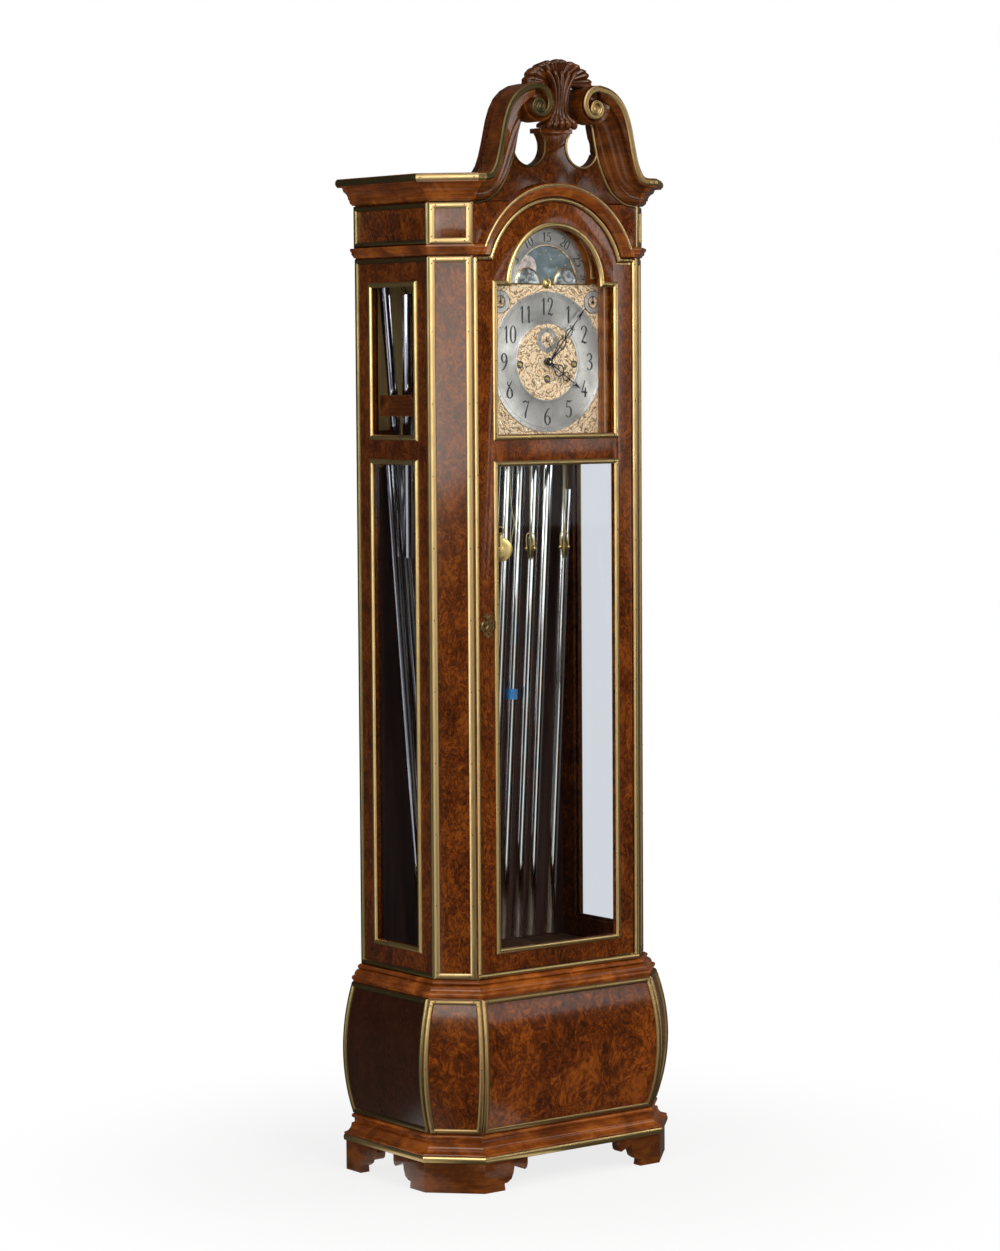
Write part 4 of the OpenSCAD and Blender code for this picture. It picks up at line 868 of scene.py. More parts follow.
class CLOCK_OT_strips(bpy.types.Operator):
    """Lay the brass strips round the panels, windows, frieze, cornice and plinth"""
    bl_idname = "clock.strips"
    bl_label = "Brass strips"

    def execute(self, context):
        frieze = (FRIEZE_Z + 0.5, CORNICE_Z - 1.5)
        fascia, rim_z = CORNICE_OUT + 0.2, TOP_Z - 8.5
        slant = (FRONT + CANT_OUT).normalized(), (CANT_OUT + SIDE).normalized()
        canted, sides, front, base, base_sides = (pair() for _ in range(5))
        flat_frame(canted, front_arris(-3) + CANT_WAY * 1.2, CANT_WAY, CANT_OUT, 0, CANT_W, 0,
                   TRUNK_H, WIDER, FLAT)
        flat_frame(canted, front_arris(-1) + CANT_WAY * 0.5, CANT_WAY, CANT_OUT, 0, CANT_W + 0.5,
                   *frieze, WIDER, FLAT)
        strip(canted, [front_arris(fascia) + UP * rim_z, side_arris(fascia) + UP * rim_z], slant,
              width=BROAD, crown=FLAT)

        for face_x, near, low, high in ((SIDE_X - 3, CANT + 1.5, 0, TRUNK_H),
                                        (SIDE_X - 1, CANT + 2, *frieze)):
            flat_frame(sides, (face_x, 0, 0), (0, 1, 0), SIDE, near, CASE_D, low, high)
        for low, high in WINDOWS:
            flat_frame(front, (SIDE_X - 3, 0, 0), (0, 1, 0), SIDE, *WINDOW_Y, low, high)
        strip(sides, [side_arris(fascia) + UP * rim_z, back_corner(fascia) + UP * rim_z],
              [slant[1], SIDE], width=BROAD, crown=4)
        strip(front, [(NECK_X, -fascia, rim_z), front_arris(fascia) + UP * rim_z],
              [FRONT, slant[0]], width=BROAD, crown=4)
        strip(front, [(POST_X, DOOR_Y, z) for z in POST_Z], [FRONT] * 2, width=8.6)
        for run in (canted, sides, front):
            mirror_pair(run)

        strip(front, [(-NECK_X, DOOR_Y, 6), (NECK_X, DOOR_Y, 6)], [FRONT] * 2)
        r, shoulder = ARCH_R + 6, SHOULDER_Z + 6.5
        lift = shoulder - ARCH_Z
        a0 = math.degrees(math.asin(lift / r))
        over = [(-x, DOOR_Y, shoulder) for x in (DOOR_X, math.sqrt(r * r - lift * lift))]
        over += [(x, DOOR_Y, z) for x, z in arc(0, ARCH_Z, r, 178 - a0, a0 + 2, 48)]
        over += [(-x, y, z) for x, y, z in over[1::-1]]
        strip(front, over, [FRONT] * len(over), width=9.5)
        r, lift = MID_OUT - 4, MID_Z + 15.5 - ARCH_Z
        a0 = math.degrees(math.asin(lift / r))
        over = [(x, -11, z) for x, z in arc(0, ARCH_Z, r, 180 - a0, a0, 56)]
        strip(front, over, [FRONT] * len(over), width=5.5, crown=2.2)
        ring = [corner(PLINTH_OUT - 3) for corner in (back_corner, side_arris, front_arris)]
        ring = [Vector((-p.x, p.y, 0)) for p in ring] + ring[::-1]
        level = UP * floor_level(FOOT_H + 7.5)
        band(front[0], [p + level for p in ring], BROAD, 3.6)

        base_frame(base, front_arris, side_arris, CANT_OUT)
        base_frame(base_sides, side_arris, back_corner, SIDE)
        mirror_pair(base)
        mirror_pair(base_sides)
        base_frame(base, lambda d: Vector((-front_arris(d).x, -d, 0)), front_arris, FRONT)
        piece(canted[0], "canted_strips", "pale_brass", replaces=("case_trim",), sharp=40)
        # The side strips take the darkened brass, as painted shade
        piece(sides[0], "side_strips", "olive_brass", sharp=40)
        piece(front[0], "case_strips", "case_brass", sharp=40)
        piece(base[0], "base_strips", "neck_brass", replaces=("base_trim",), sharp=40)
        piece(base_sides[0], "base_side_strips", "olive_brass", sharp=40)
        heads = canted[1]
        for run in (sides, front, base, base_sides):
            merge(heads, run[1])
        # The pins' heads are darkened brass, as painted shade
        piece(heads, "strip_pins", "pin_brass", sharp=60)
        return {"FINISHED"}


def band(bm, points, width, crown):
    """A flat-backed band of half-round run level round the case, its section (out, up)."""
    section = [(0, -width / 2), (0, width / 2)] + [(v, -u) for u, v in half_round(width, crown)]
    stations = []
    for i, p in enumerate(points):
        ways = [(points[j + 1] - points[j]).normalized() for j in (i - 1, i)
                if 0 <= j < len(points) - 1]
        stations.append(station(p, mitred([Vector((w.y, -w.x, 0)) for w in ways]), UP))
    swept(bm, section, stations)


# The door's two lights: half their width, their heights, and the arch over the upper one
LIGHT_X = 157.0
LOWER_LIGHT, UPPER_LIGHT = (61.0, 1080.0), (1146.0, 1457.0)
LIGHT_ARCH_Z, LIGHT_ARCH_R = 1461.0, 120.0
# How wide the strips round the lights are, and how far out their middle lies
LIGHT_STRIP, LIGHT_LAP = 11.4, 5.8


class CLOCK_OT_door(bpy.types.Operator):
    """Build the door with its glass, its brass frames and its lock"""
    bl_idname = "clock.door"
    bl_label = "Door"

    def execute(self, context):
        softened("door_frame", "door_stiles", "door_walnut", "door")
        run = pair()
        out, r = LIGHT_X + LIGHT_LAP, LIGHT_ARCH_R + LIGHT_LAP
        for (low, high), arched in ((LOWER_LIGHT, False), (UPPER_LIGHT, True)):
            low, high = low - LIGHT_LAP, high + LIGHT_LAP
            outline = [(-out, low), (out, low), (out, high), (-out, high)]
            if arched:
                a0 = math.degrees(math.asin((high - LIGHT_ARCH_Z) / r))
                outline[3:3] = arc(0, LIGHT_ARCH_Z, r, a0, 180 - a0, 48)
            strip(run, [(x, DOOR_Y, z) for x, z in outline], [FRONT] * len(outline), True,
                  width=LIGHT_STRIP)
        piece(run[0], "door_strips", "case_brass", "door", ("door_trim",), sharp=40)
        piece(run[1], "door_pins", "pin_brass", "door", sharp=60)
        for node in ("door_lock", "lock_bolt", "case_pivots", "door_pivot_plates"):
            bare(node, "plain_brass")
        return {"FINISHED"}


# Strokes of the numerals: points of (across, up, width of the pen) in a box one unit high
STROKES = {
    "0": [[(.26, 0, .05), (.09, .14, .10), (.04, .5, .14), (.09, .86, .10), (.26, 1, .05),
           (.43, .86, .10), (.48, .5, .14), (.43, .14, .10), (.26, 0, .05)]],
    "1": [[(.10, .78, .04), (.20, .90, .08), (.29, 1, .06)],
          [(.29, 1, .08), (.27, .6, .14), (.26, .2, .13), (.30, 0, .10)]],
    "2": [[(.05, .76, .10), (.10, .92, .09), (.26, 1, .05), (.43, .86, .12), (.41, .62, .13),
           (.22, .30, .09), (.04, .03, .05)],
          [(.04, .03, .05), (.18, .09, .12), (.35, .01, .12), (.51, .10, .04)]],
    "3": [[(.05, .84, .09), (.20, .99, .05), (.39, .86, .12), (.37, .66, .11), (.17, .53, .05)],
          [(.17, .53, .05), (.39, .43, .12), (.42, .18, .14), (.23, 0, .05), (.04, .12, .10)]],
    "4": [[(.33, 1, .06), (.20, .68, .09), (.03, .28, .06)],
          [(.03, .28, .06), (.20, .32, .12), (.37, .25, .11), (.53, .31, .04)],
          [(.37, .60, .06), (.35, .3, .13), (.33, 0, .12)]],
    "5": [[(.48, 1, .04), (.31, .92, .11), (.12, .97, .06)], [(.12, .97, .06), (.08, .58, .08)],
          [(.08, .58, .05), (.26, .63, .06), (.43, .45, .12), (.42, .18, .14), (.23, 0, .05),
           (.04, .12, .10)]],
    "6": [[(.43, .98, .05), (.22, .82, .10), (.06, .5, .14), (.08, .18, .12), (.26, 0, .05),
           (.43, .16, .12), (.42, .38, .12), (.26, .54, .05), (.10, .40, .06)]],
    "7": [[(.02, .90, .10), (.20, .98, .08), (.35, .91, .07), (.50, .99, .04)],
          [(.50, .99, .04), (.36, .62, .08), (.23, .3, .13), (.21, 0, .12)]],
    "8": [[(.40, 1, .05), (.24, .72, .09), (.07, .40, .12), (.06, .13, .12), (.24, 0, .05),
           (.42, .13, .12), (.41, .38, .12), (.26, .62, .07), (.08, .80, .09), (.10, .98, .05)]],
    "9": [[(.09, .02, .05), (.30, .18, .10), (.46, .5, .14), (.44, .82, .12), (.26, 1, .05),
           (.09, .84, .12), (.10, .62, .12), (.26, .46, .05), (.42, .60, .06)]],
}
DIGIT_W = 0.60


def smooth_path(points, steps=5):
    """Points on a smooth curve through the given ones."""
    points = [Vector(p) for p in points]
    made = []
    for i in range(len(points) - 1):
        p = [points[max(0, min(len(points) - 1, i + k))] for k in (-1, 0, 1, 2)]
        for k in range(steps):
            t = k / steps
            made.append(0.5 * (2 * p[1] + (p[2] - p[0]) * t + (2 * p[0] - 5 * p[1] + 4 * p[2]
                        - p[3]) * t * t + (3 * p[1] - p[0] - 3 * p[2] + p[3]) * t ** 3))
    return made + [points[-1]]


def heading(path, i):
    """The way between the neighbours of one of a path's points."""
    return path[min(i + 1, len(path) - 1)] - path[max(i - 1, 0)]


def pen(bm, points, place, thick, steps=5):
    """A stroke of changing width, (across, up, width), laid down by place and made thick mm."""
    path = smooth_path(points, steps)
    edge, faces = None, []
    for i, p in enumerate(path):
        way = heading(path, i)
        side = Vector((-way.y, way.x)).normalized() * p.z / 2
        ends = [place @ Vector((p.x + s * side.x, 0, p.y + s * side.y)) for s in (1, -1)]
        if edge is None:
            edge = bm.edges.new([bm.verts.new(e) for e in ends])
            continue
        keys = edge.verts[:]
        grown = bmesh.ops.extrude_edge_only(bm, edges=[edge])["geom"]
        edge = next(g for g in among(grown, BMEdge) if not set(g.verts) & set(keys))
        faces += among(grown, BMFace)
        first = next(v for v in edge.verts if any(keys[0] in e.verts for e in v.link_edges))
        for vert in edge.verts:
            vert.co = ends[0] if vert is first else ends[1]
    raised = bmesh.ops.extrude_face_region(bm, geom=faces)["geom"]
    bmesh.ops.translate(bm, vec=place.to_3x3() @ FRONT * (thick / place.to_scale().x),
                        verts=among(raised, BMVert))


def on_dial(x, z, y=DIAL_Y - 1, turn=0.0, scale=1.0):
    """Places a drawing on the dial, turned clockwise by an angle in degrees."""
    return (Matrix.Translation((x, y, z)) @ Matrix.Rotation(math.radians(turn), 4, "Y")
            @ Matrix.Scale(scale, 4))


def numeral(bm, text, x, z, high, turn=0.0, y=DIAL_Y - 1, squeeze=1.0):
    """Draws a number centred at a place on the dial."""
    pitch = DIGIT_W * squeeze
    for i, digit in enumerate(text):
        shift = (i - (len(text) - 1) / 2) * pitch - 0.26 * squeeze
        for stroke in STROKES[digit]:
            points = [(shift + a * squeeze, b - 0.5, w * (0.75 + 0.25 * squeeze))
                      for a, b, w in stroke]
            pen(bm, points, on_dial(x, z, y, turn, high), 0.25)


def ring_of(steps):
    """The angles of even steps round a circle."""
    return [math.tau * k / steps for k in range(steps)]


def turned_on(bm, profile, place, steps=48):
    """Turns a section of (radius, distance along the axis) about the axis y of a place."""
    stations = [place @ station((0, 0, 0), (math.cos(a), 0, math.sin(a)), (0, 1, 0))
                for a in ring_of(steps)]
    swept(bm, profile, stations, True)


def lathe(bm, profile, centre, steps=64):
    """Turns a closed section of (radius, y) about an axis that points out of the dial."""
    turned_on(bm, profile, Matrix.Translation((centre[0], 0, centre[1])), steps)


def clock_place(centre, r, turn):
    """A place at a distance from a centre, at an angle clockwise from the top."""
    return (centre[0] + r * math.sin(math.radians(turn)),
            centre[1] + r * math.cos(math.radians(turn)))


def disc(bm, centre, r, y0, y1):
    """A plain disc on an axis out of the dial; y0 is its front."""
    made = bmesh.ops.create_cone(bm, cap_ends=True, segments=64, radius1=r, radius2=r,
                                 depth=y1 - y0)["verts"]
    place = Matrix.Translation((centre[0], (y0 + y1) / 2, centre[1]))
    bmesh.ops.transform(bm, matrix=place @ Matrix.Rotation(math.pi / 2, 4, "X"), verts=made)


def annulus(bm, centre, r0, r1, y, lip=0.35, steps=96):
    """A silvered ring with raised borders, 1 mm thick."""
    face = y - 1
    lathe(bm, [(r0, y), (r0, face), (r0 + 0.8, face - lip), (r0 + 1.6, face), (r1 - 1.6, face),
               (r1 - 0.8, face - lip), (r1, face), (r1, y)], centre, steps)


def tick(bm, centre, r0, r1, angle, width, y):
    """A short radial mark, angle in degrees clockwise from the top."""
    pen(bm, [(0, r0, width), (0, r1, width)], on_dial(*centre, y, angle), 0.2, 1)


def circle_line(bm, centre, r, y, width=0.5, steps=96):
    """A raised line round a centre."""
    lathe(bm, [(r - width / 2, y), (r - width / 2, y - 0.15), (r + width / 2, y - 0.15),
               (r + width / 2, y)], centre, steps)


class CLOCK_OT_dial(bpy.types.Operator):
    """Build the gilt plate, the silvered rings with their numbers, and the half globes"""
    bl_idname = "clock.dial"
    bl_label = "Dial"

    def execute(self, context):
        bm = solid("dial_plate")
        cut = bmesh.ops.bisect_plane(bm, geom=whole(bm), dist=1e-4, plane_no=(0, 1, 0),
                                     plane_co=(0, DIAL_Y + 0.01, 0), clear_inner=True)["geom_cut"]
        bmesh.ops.triangle_fill(bm, use_beauty=True, edges=among(cut, BMEdge))
        piece(bm, "gilt_plate", "gilt_brass", replaces=("dial_plate",), weld=0.001, sharp=1)
        centre, seconds, moon = (0, DIAL_Z), (0, SECONDS_Z), (0, MOON_Z)
        corners = [(side * SELECTOR[0], SELECTOR[1]) for side in (-1, 1)]
        bm = bmesh.new()
        annulus(bm, centre, *CHAPTER, DIAL_Y)
        annulus(bm, seconds, 16, 26.5, DIAL_Y + 0.02, 0.2, 64)
        for corner in corners:
            annulus(bm, corner, 12, 24, DIAL_Y - 0.4, 0.2, 64)
        upper = bmesh.new()
        annulus(upper, moon, *MOON_RING, DIAL_Y)
        cut_level(upper, MOON_Z + 1)
        merge(bm, upper)
        piece(bm, "chapter_rings", "silvered", replaces=("silvered_rings",), sharp=50)

        bm = bmesh.new()
        face = DIAL_Y - 1
        for hour in range(1, 13):
            place = clock_place(centre, 115.5 if hour != 12 else 117, hour * 30)
            numeral(bm, str(hour), *place, 36.5, y=face, squeeze=0.92 if hour < 10 else 0.80)
            x, z = clock_place(centre, 144.2, hour * 30)
            bowl(bm, (x, face, z), FRONT, 1.5, 0.4, 2, 10)
        for minute in range(60):
            if minute % 5:
                tick(bm, centre, 142.6, 145.6, minute * 6, 0.45, face)
        for r in (86.5, 139.5):
            circle_line(bm, centre, r, face, 0.35)
        for second in range(60):
            long = 1.4 if second % 5 else 2.6
            tick(bm, seconds, 25.2 - long, 25.2, second * 6, 0.35, face + 0.02)
        for quarter, text in enumerate(("60", "15", "30", "45")):
            numeral(bm, text, *clock_place(seconds, 19.9, quarter * 90), 4.6, y=face)
        for corner in corners:
            circle_line(bm, corner, 23.6, face - 0.6, 1.3, 64)
            circle_line(bm, corner, 12.6, face - 0.6, 1.6, 48)
            for a in range(-60, 61, 30):
                tick(bm, corner, 15, 21.5 if a % 60 == 0 else 19, a, 0.9, face - 0.4)
            for a in range(100, 261, 20):
                tick(bm, corner, 17, 20, a, 0.5, face - 0.4)
        for day in range(5, 30, 5):
            turn = 6 * day - 90
            numeral(bm, str(day), *clock_place(moon, 98, turn), 20, turn, face, 1.05)
        across, up = clock_place((0, 0), 1, 84)
        numeral(bm, "29", 99 * across, MOON_Z + 98 * up + 4, 13, 84, face, 0.8)
        for day in range(60):
            a = -88 + day * 176 / 59
            tick(bm, moon, 112.5, 115.5 if day % 2 else 113.8, a, 0.4, face)
        lines = bmesh.new()
        for r in (84.6, 111.5):
            circle_line(lines, moon, r, face, 0.35)
        cut_level(lines, MOON_Z + 1)
        merge(bm, lines)
        piece(bm, "dial_numbers", "black_wax", weld=0.0005)

        bm = bmesh.new()
        for x in (-52, 52):
            bowl(bm, (x, DIAL_Y, MOON_Z), FRONT, 32, 5, 8, 48)
        cut_level(bm, MOON_Z)
        piece(bm, "half_globes", "globe_silver")

        bm = bmesh.new()
        for x in (-52, 52):
            lathe(bm, [(31.4, 34), (31.4, 32.4), (32.3, 32.1), (33.0, 32.4), (33.0, 34)],
                  (x, MOON_Z), 64)
        cut_level(bm, MOON_Z)
        rim = bmesh.new()
        swept(rim, [(-1.6, 0), (-1.6, 1.2), (0, 1.7), (1.6, 1.2), (1.6, 0)],
              route([(-118, DIAL_Y, MOON_Z - 1), (118, DIAL_Y, MOON_Z - 1)], [FRONT] * 2))
        merge(bm, rim)
        lathe(bm, [(0.05, 34.0), (0.05, 29.6), (2.2, 29.7), (3.4, 30.6), (6.5, 31.4), (8.6, 32.2),
                   (10.6, 32.6), (10.6, 34.0)], moon, 40)
        lathe(bm, [(6.6, 33.4), (6.6, 31.0), (7.4, 30.6), (8.2, 31.2), (8.2, 33.4)], moon, 40)
        for at in WINDING:
            lathe(bm, [(4.1, 34.2), (4.1, 32.8), (4.6, 32.4), (5.2, 32.9), (5.2, 34.2)], at, 32)
        piece(bm, "dial_rims", "plain_brass")
        bm = bmesh.new()
        for at in WINDING:
            lathe(bm, [(5.2, 34.1), (5.2, 32.8), (8.0, 32.8), (8.0, 34.1)], at, 32)
        piece(bm, "winding_rings", "black_wax")
        return {"FINISHED"}


class CLOCK_OT_moon(bpy.types.Operator):
    """Build the moon disc: a cloudy sky with two moons and gilt stars"""
    bl_idname = "clock.moon"
    bl_label = "Moon disc"

    def execute(self, context):
        bm = bmesh.new()
        lathe(bm, [(2.1, MOON_Y + 1.5), (2.1, MOON_Y), (86, MOON_Y), (86, MOON_Y + 1.5)],
              (0, MOON_Z), 96)
        piece(bm, "sky_disc", "painted_sky", "moon_body", ("moon_disc",))
        bm = bmesh.new()
        for side in (-1, 1):
            disc(bm, (side * 50, MOON_Z - side * 34), 25, MOON_Y - 0.5, MOON_Y + 0.2)
        piece(bm, "painted_moons", "moon_paint", "moon_body", sharp=60)
        bm = bmesh.new()
        for x, z, r in ((16, 52, 3.4), (38, 60, 2.6), (2, 70, 2.2), (30, 34, 2.4), (54, 40, 2.8),
                        (62, 22, 2.0), (12, 30, 1.8), (-14, 62, 2.0), (24, 72, 1.8)):
            for side in (-1, 1):
                star = bmesh.ops.create_circle(bm, cap_ends=True, segments=10, radius=r)["verts"]
                for i, v in enumerate(star):
                    v.co *= 1.0 if i % 2 else 0.42
                place = Matrix.Translation((side * x, MOON_Y, MOON_Z + side * z))
                bmesh.ops.transform(bm, matrix=place @ Matrix.Rotation(math.pi / 2, 4, "X"),
                                    verts=star)
                raised = bmesh.ops.extrude_face_region(bm, geom=star[0].link_faces[:])["geom"]
                bmesh.ops.translate(bm, vec=(0, -0.25, 0), verts=among(raised, BMVert))
        piece(bm, "gilt_stars", "plain_brass", "moon_body")
        return {"FINISHED"}


def scroll(at, r, turn, sense, width):
    """Points of a C-scroll that curls inwards from its own end."""
    made = []
    for t in (i / 8 for i in range(9)):
        a = math.radians(turn + sense * 300 * t)
        reach = r * (1 - 0.62 * t)
        made.append((at[0] + reach * math.cos(a), at[1] + reach * math.sin(a),
                     width * (1 - 0.45 * t)))
    return made


def fretted_hand(bm, place, length, hub, wide, thick):
    """A pierced hand of scrolls and loops round a spine, ending in an arrow."""
    unit = length / 100

    def stroke(points, steps=5):
        pen(bm, points, place, thick, steps)

    for k in (-1, 1):
        stroke([(0, hub * 0.8, 3.2), (k * wide * 0.55, 22 * unit, 2.0), (k * wide, 31 * unit, 2.6),
                (k * wide * 0.7, 40 * unit, 1.8), (0, 45 * unit, 2.4)])
        stroke([(0, 44 * unit, 2.2), (k * wide * 0.62, 50 * unit, 1.7),
                (k * wide * 0.7, 57 * unit, 1.9), (0, 64 * unit, 1.6)])
        stroke(scroll((k * wide * 0.52, 29 * unit), wide * 0.36, 90 - k * 60, -k, 1.8))
        stroke(scroll((k * wide * 0.95, 43 * unit), wide * 0.34, 90 + k * 90, k, 1.7))
        stroke(scroll((k * wide * 0.55, 64 * unit), wide * 0.28, 90 + k * 90, k, 1.4))
        stroke([(0, 88 * unit, 1.2), (k * 3.4, 84.5 * unit, 1.8), (k * 4.6, 80 * unit, 0.5)])
    stroke([(0, 0, hub), (0, hub + 3, 5.0), (0, 20 * unit, 3.0), (0, 44 * unit, 2.0),
            (0, 64 * unit, 2.4), (0, 78 * unit, 1.3), (0, 86 * unit, 1.5)], 3)
    stroke([(0, 84 * unit, 1.6), (0, 88 * unit, 5.4), (0, 100 * unit, 0.5)], 4)
    for at, r in ((66 * unit, 2.6), (76 * unit, 1.7)):
        stroke([(0, at - r, 0.4), (0, at - r * 0.6, r * 1.6), (0, at, r * 2),
                (0, at + r * 0.6, r * 1.6), (0, at + r, 0.4)], 2)


class CLOCK_OT_hands(bpy.types.Operator):
    """Build the pierced hands for the hours, minutes and seconds, and the two selector hands"""
    bl_idname = "clock.hands"
    bl_label = "Hands"

    def execute(self, context):
        for name, body, y, turn, length, hub, wide, bore in (
                ("minute_hand", "centre_arbor_body", 23.4, 40, 147, 7, 9.5, 2.55),
                ("hour_hand", "hour_body", 27.4, 124, 102, 9, 12.5, 5.05)):
            bm = bmesh.new()
            thick = 1.2
            fretted_hand(bm, on_dial(0, DIAL_Z, y, turn), length, hub, wide, thick)
            front = y - thick
            lathe(bm, [(bore, y + 0.3), (bore, front - 0.2), (hub - 1.2, front - 0.5),
                       (hub, front + 0.1), (hub, y + 0.3)], (0, DIAL_Z), 40)
            piece(bm, "fretted_" + name, "blued_steel", body, (name,), weld=0.003)
        bm = bmesh.new()
        place = on_dial(0, SECONDS_Z, 31.2, 150)
        pen(bm, [(0, -8, 2.6), (0, -4, 1.6), (0, 6, 1.2), (0, 14, 1.0), (0, 22, 0.5)], place,
            0.6, 3)
        lathe(bm, [(1.55, 31.3), (1.55, 30.3), (2.6, 30.3), (3, 30.6), (3, 31.3)],
              (0, SECONDS_Z), 24)
        piece(bm, "fine_seconds_hand", "blued_steel", "escape_body", ("seconds_hand",), weld=0.003)
        for side, word in ((-1, "left"), (1, "right")):
            bm = bmesh.new()
            x, z = side * SELECTOR[0], SELECTOR[1]
            place = on_dial(x, z, 32.2)
            pen(bm, [(0, -6, 1.8), (0, -2, 1.4), (0, 5, 1.6), (0, 9, 3.0), (0, 14, 0.5)], place,
                0.7, 3)
            lathe(bm, [(0.05, 32.3), (0.05, 30.9), (1.9, 31.0), (3.3, 31.6), (3.4, 32.3)],
                  (x, z), 28)
            lathe(bm, [(0.05, 39.0), (0.05, 32.0), (1.5, 32.0), (1.5, 37.3), (3, 37.3), (3, 39.0)],
                  (x, z), 24)
            piece(bm, "selector_hand_" + word, "blued_steel", "selector_%s_body" % word,
                  ("selector_" + word,), weld=0.003)
        return {"FINISHED"}


# The pulleys' places, and the angle in degrees that each has turned to on its cable
PULLEY_X, PULLEY_Y, PULLEY_Z = (-81, 0, 93), 95, 900
PULLEY_TURN = (-37, 52, 48)
SHEAVE_R, GROOVE_R = 26, 20
# Half the distance between a cable's two falls, and the seatboard's level
FALL_R = GROOVE_R + 1.9
SEAT_Z = DIAL_Z - 73.4
SIDES = ("left", "centre", "right")
TUBE_R, TUBE_FOOT = 12.5, 40
# Foot across, and how far the top lies below the trunk's top, of the six leaning tubes
TUBE_TOPS = ((-10, 150), (25, 200), (60, 260), (100, 320), (136, 390), (190, 503))
# The tube that is wound with tape, the tape's level and width, and the levels of the hooks
TAPED, TAPE_Z, TAPE_W = 2, 560, 23
HOOK_Z, LOW_HOOK_Z = 1488, 1138.4


def leaning(x, top):
    """Ends of a tube that leans to the right and back about the level where x is measured."""
    return [Vector((x + 0.105 * rise, CASE_D - 91 + 0.062 * rise, 555 + rise))
            for rise in (TUBE_FOOT - 555, top - 555)]


TUBES = [leaning(x, TRUNK_H - drop) for x, drop in TUBE_TOPS] + [
    [Vector((-116, 290, TUBE_FOOT)), Vector((-241, 290, TRUNK_H - 50))],
    [Vector((-153, 290, TUBE_FOOT)), Vector((-233, 290, DIAL_Z - 217))],
    [Vector((-200, 262, DIAL_Z - 418)), Vector((-200, 262, TRUNK_H - 75))]]


def at_pulley(i):
    """The place of a pulley, its axis along y."""
    return (Matrix.Translation((PULLEY_X[i], PULLEY_Y, PULLEY_Z))
            @ Matrix.Rotation(math.radians(PULLEY_TURN[i]), 4, "Z"))


def tube_place(foot, top):
    """Stands the axis y of a tube on its foot, pointing at its top."""
    turn = Vector((0, 1, 0)).rotation_difference((top - foot).normalized())
    return Matrix.Translation(foot) @ turn.to_matrix().to_4x4()


class CLOCK_OT_movement(bpy.types.Operator):
    """Give the movement its finishes, and build the domed pulleys with their stirrups"""
    bl_idname = "clock.movement"
    bl_label = "Movement and pulleys"

    def execute(self, context):
        for node in ("movement_frame", "barrel_left", "barrel_centre", "barrel_right",
                     "great_wheel", "centre_arbor", "minute_wheel", "hour_wheel", "third_wheel",
                     "escape_wheel"):
            bare(node, "plain_brass")
        bare("anchor", "steel")
        for i, word in enumerate(SIDES):
            place = at_pulley(i)
            bm = bmesh.new()
            half = [(2.6, -6.9), (6, -7.0), (7, -6.4), (8, -6.3), (15, -6.2), (20, -5.4),
                    (24, -4.2), (25.6, -3.4), (SHEAVE_R, -2.9), (25.4, -2.3), (21, -1.8),
                    (GROOVE_R, -1.0)]
            turned_on(bm, half + [(r, -y) for r, y in half[::-1]], place)
            piece(bm, "domed_sheave_" + word, "plain_brass", "sheave_%s_body" % word,
                  ("sheave_" + word,), sharp=40)
            bm = bmesh.new()
            for k in (-1, 1):
                turned_on(bm, [(0.05, k * 7.4), (0.05, k * 12.2), (2.2, k * 12.0), (3, k * 11.2),
                               (3, k * 10), (6, k * 9.9), (6, k * 7.6)], place, 24)
                swept(bm, [(-4, -0.9), (-4, 0.5), (-3, 0.9), (3, 0.9), (4, 0.5), (4, -0.9)],
                      [place @ station((0, k * 9 * w, z), (1, 0, 0), (0, k * math.cos(t),
                       math.sin(t))) for w, z, t in ((1, 0, 0), (1, 22, 0), (0.97, 27, 0.5),
                       (0.8, 30.5, 1.0), (0.5, 32, 1.4), (0, 32.4, 1.57))])
            turned_on(bm, [(0.05, -12), (0.05, 12), (2.5, 12), (2.5, -12)], place, 20)
            stem = place @ Matrix.Translation((0, 0, 32))
            turned_on(bm, [(0.05, -1), (0.05, 3.4), (3.6, 3.2), (4.2, 2), (4, -1)],
                      stem @ Matrix.Rotation(math.pi / 2, 4, "X"), 20)
            turned_on(bm, [(7.2 + 1.7 * math.cos(a), 1.7 * math.sin(a)) for a in ring_of(10)],
                      place @ Matrix.Translation((0, 0, 41)), 32)
            piece(bm, "stirrup_" + word, "plain_brass", "pulley_%s_body" % word,
                  ("pulley_" + word,), sharp=40)
        return {"FINISHED"}


def cable_path(i):
    """Down one fall with a little slack at the pulley, round under the sheave and up again."""
    turn = math.radians(PULLEY_TURN[i])
    across = Vector((math.cos(turn), math.sin(turn), 0))
    middle = Vector((PULLEY_X[i], PULLEY_Y, PULLEY_Z))
    points = []
    for side in (-1, 1):
        fall = []
        for k in range(25):
            t = k / 24
            slack = 7.0 * math.exp(-((t - 0.16) / 0.09) ** 2) + 1.2 * math.sin(9 * t + i) * (1 - t)
            slack *= min(1, 6 * t)
            fall.append(middle + across * side * (FALL_R + slack)
                        + Vector((0, 0, t * (SEAT_Z + 2 - PULLEY_Z))))
        points.append(fall)
    under = [middle + across * FALL_R * math.cos(math.pi + math.pi * k / 16)
             + UP * FALL_R * math.sin(math.pi + math.pi * k / 16) for k in range(1, 16)]
    return points[0][::-1] + under + points[1]


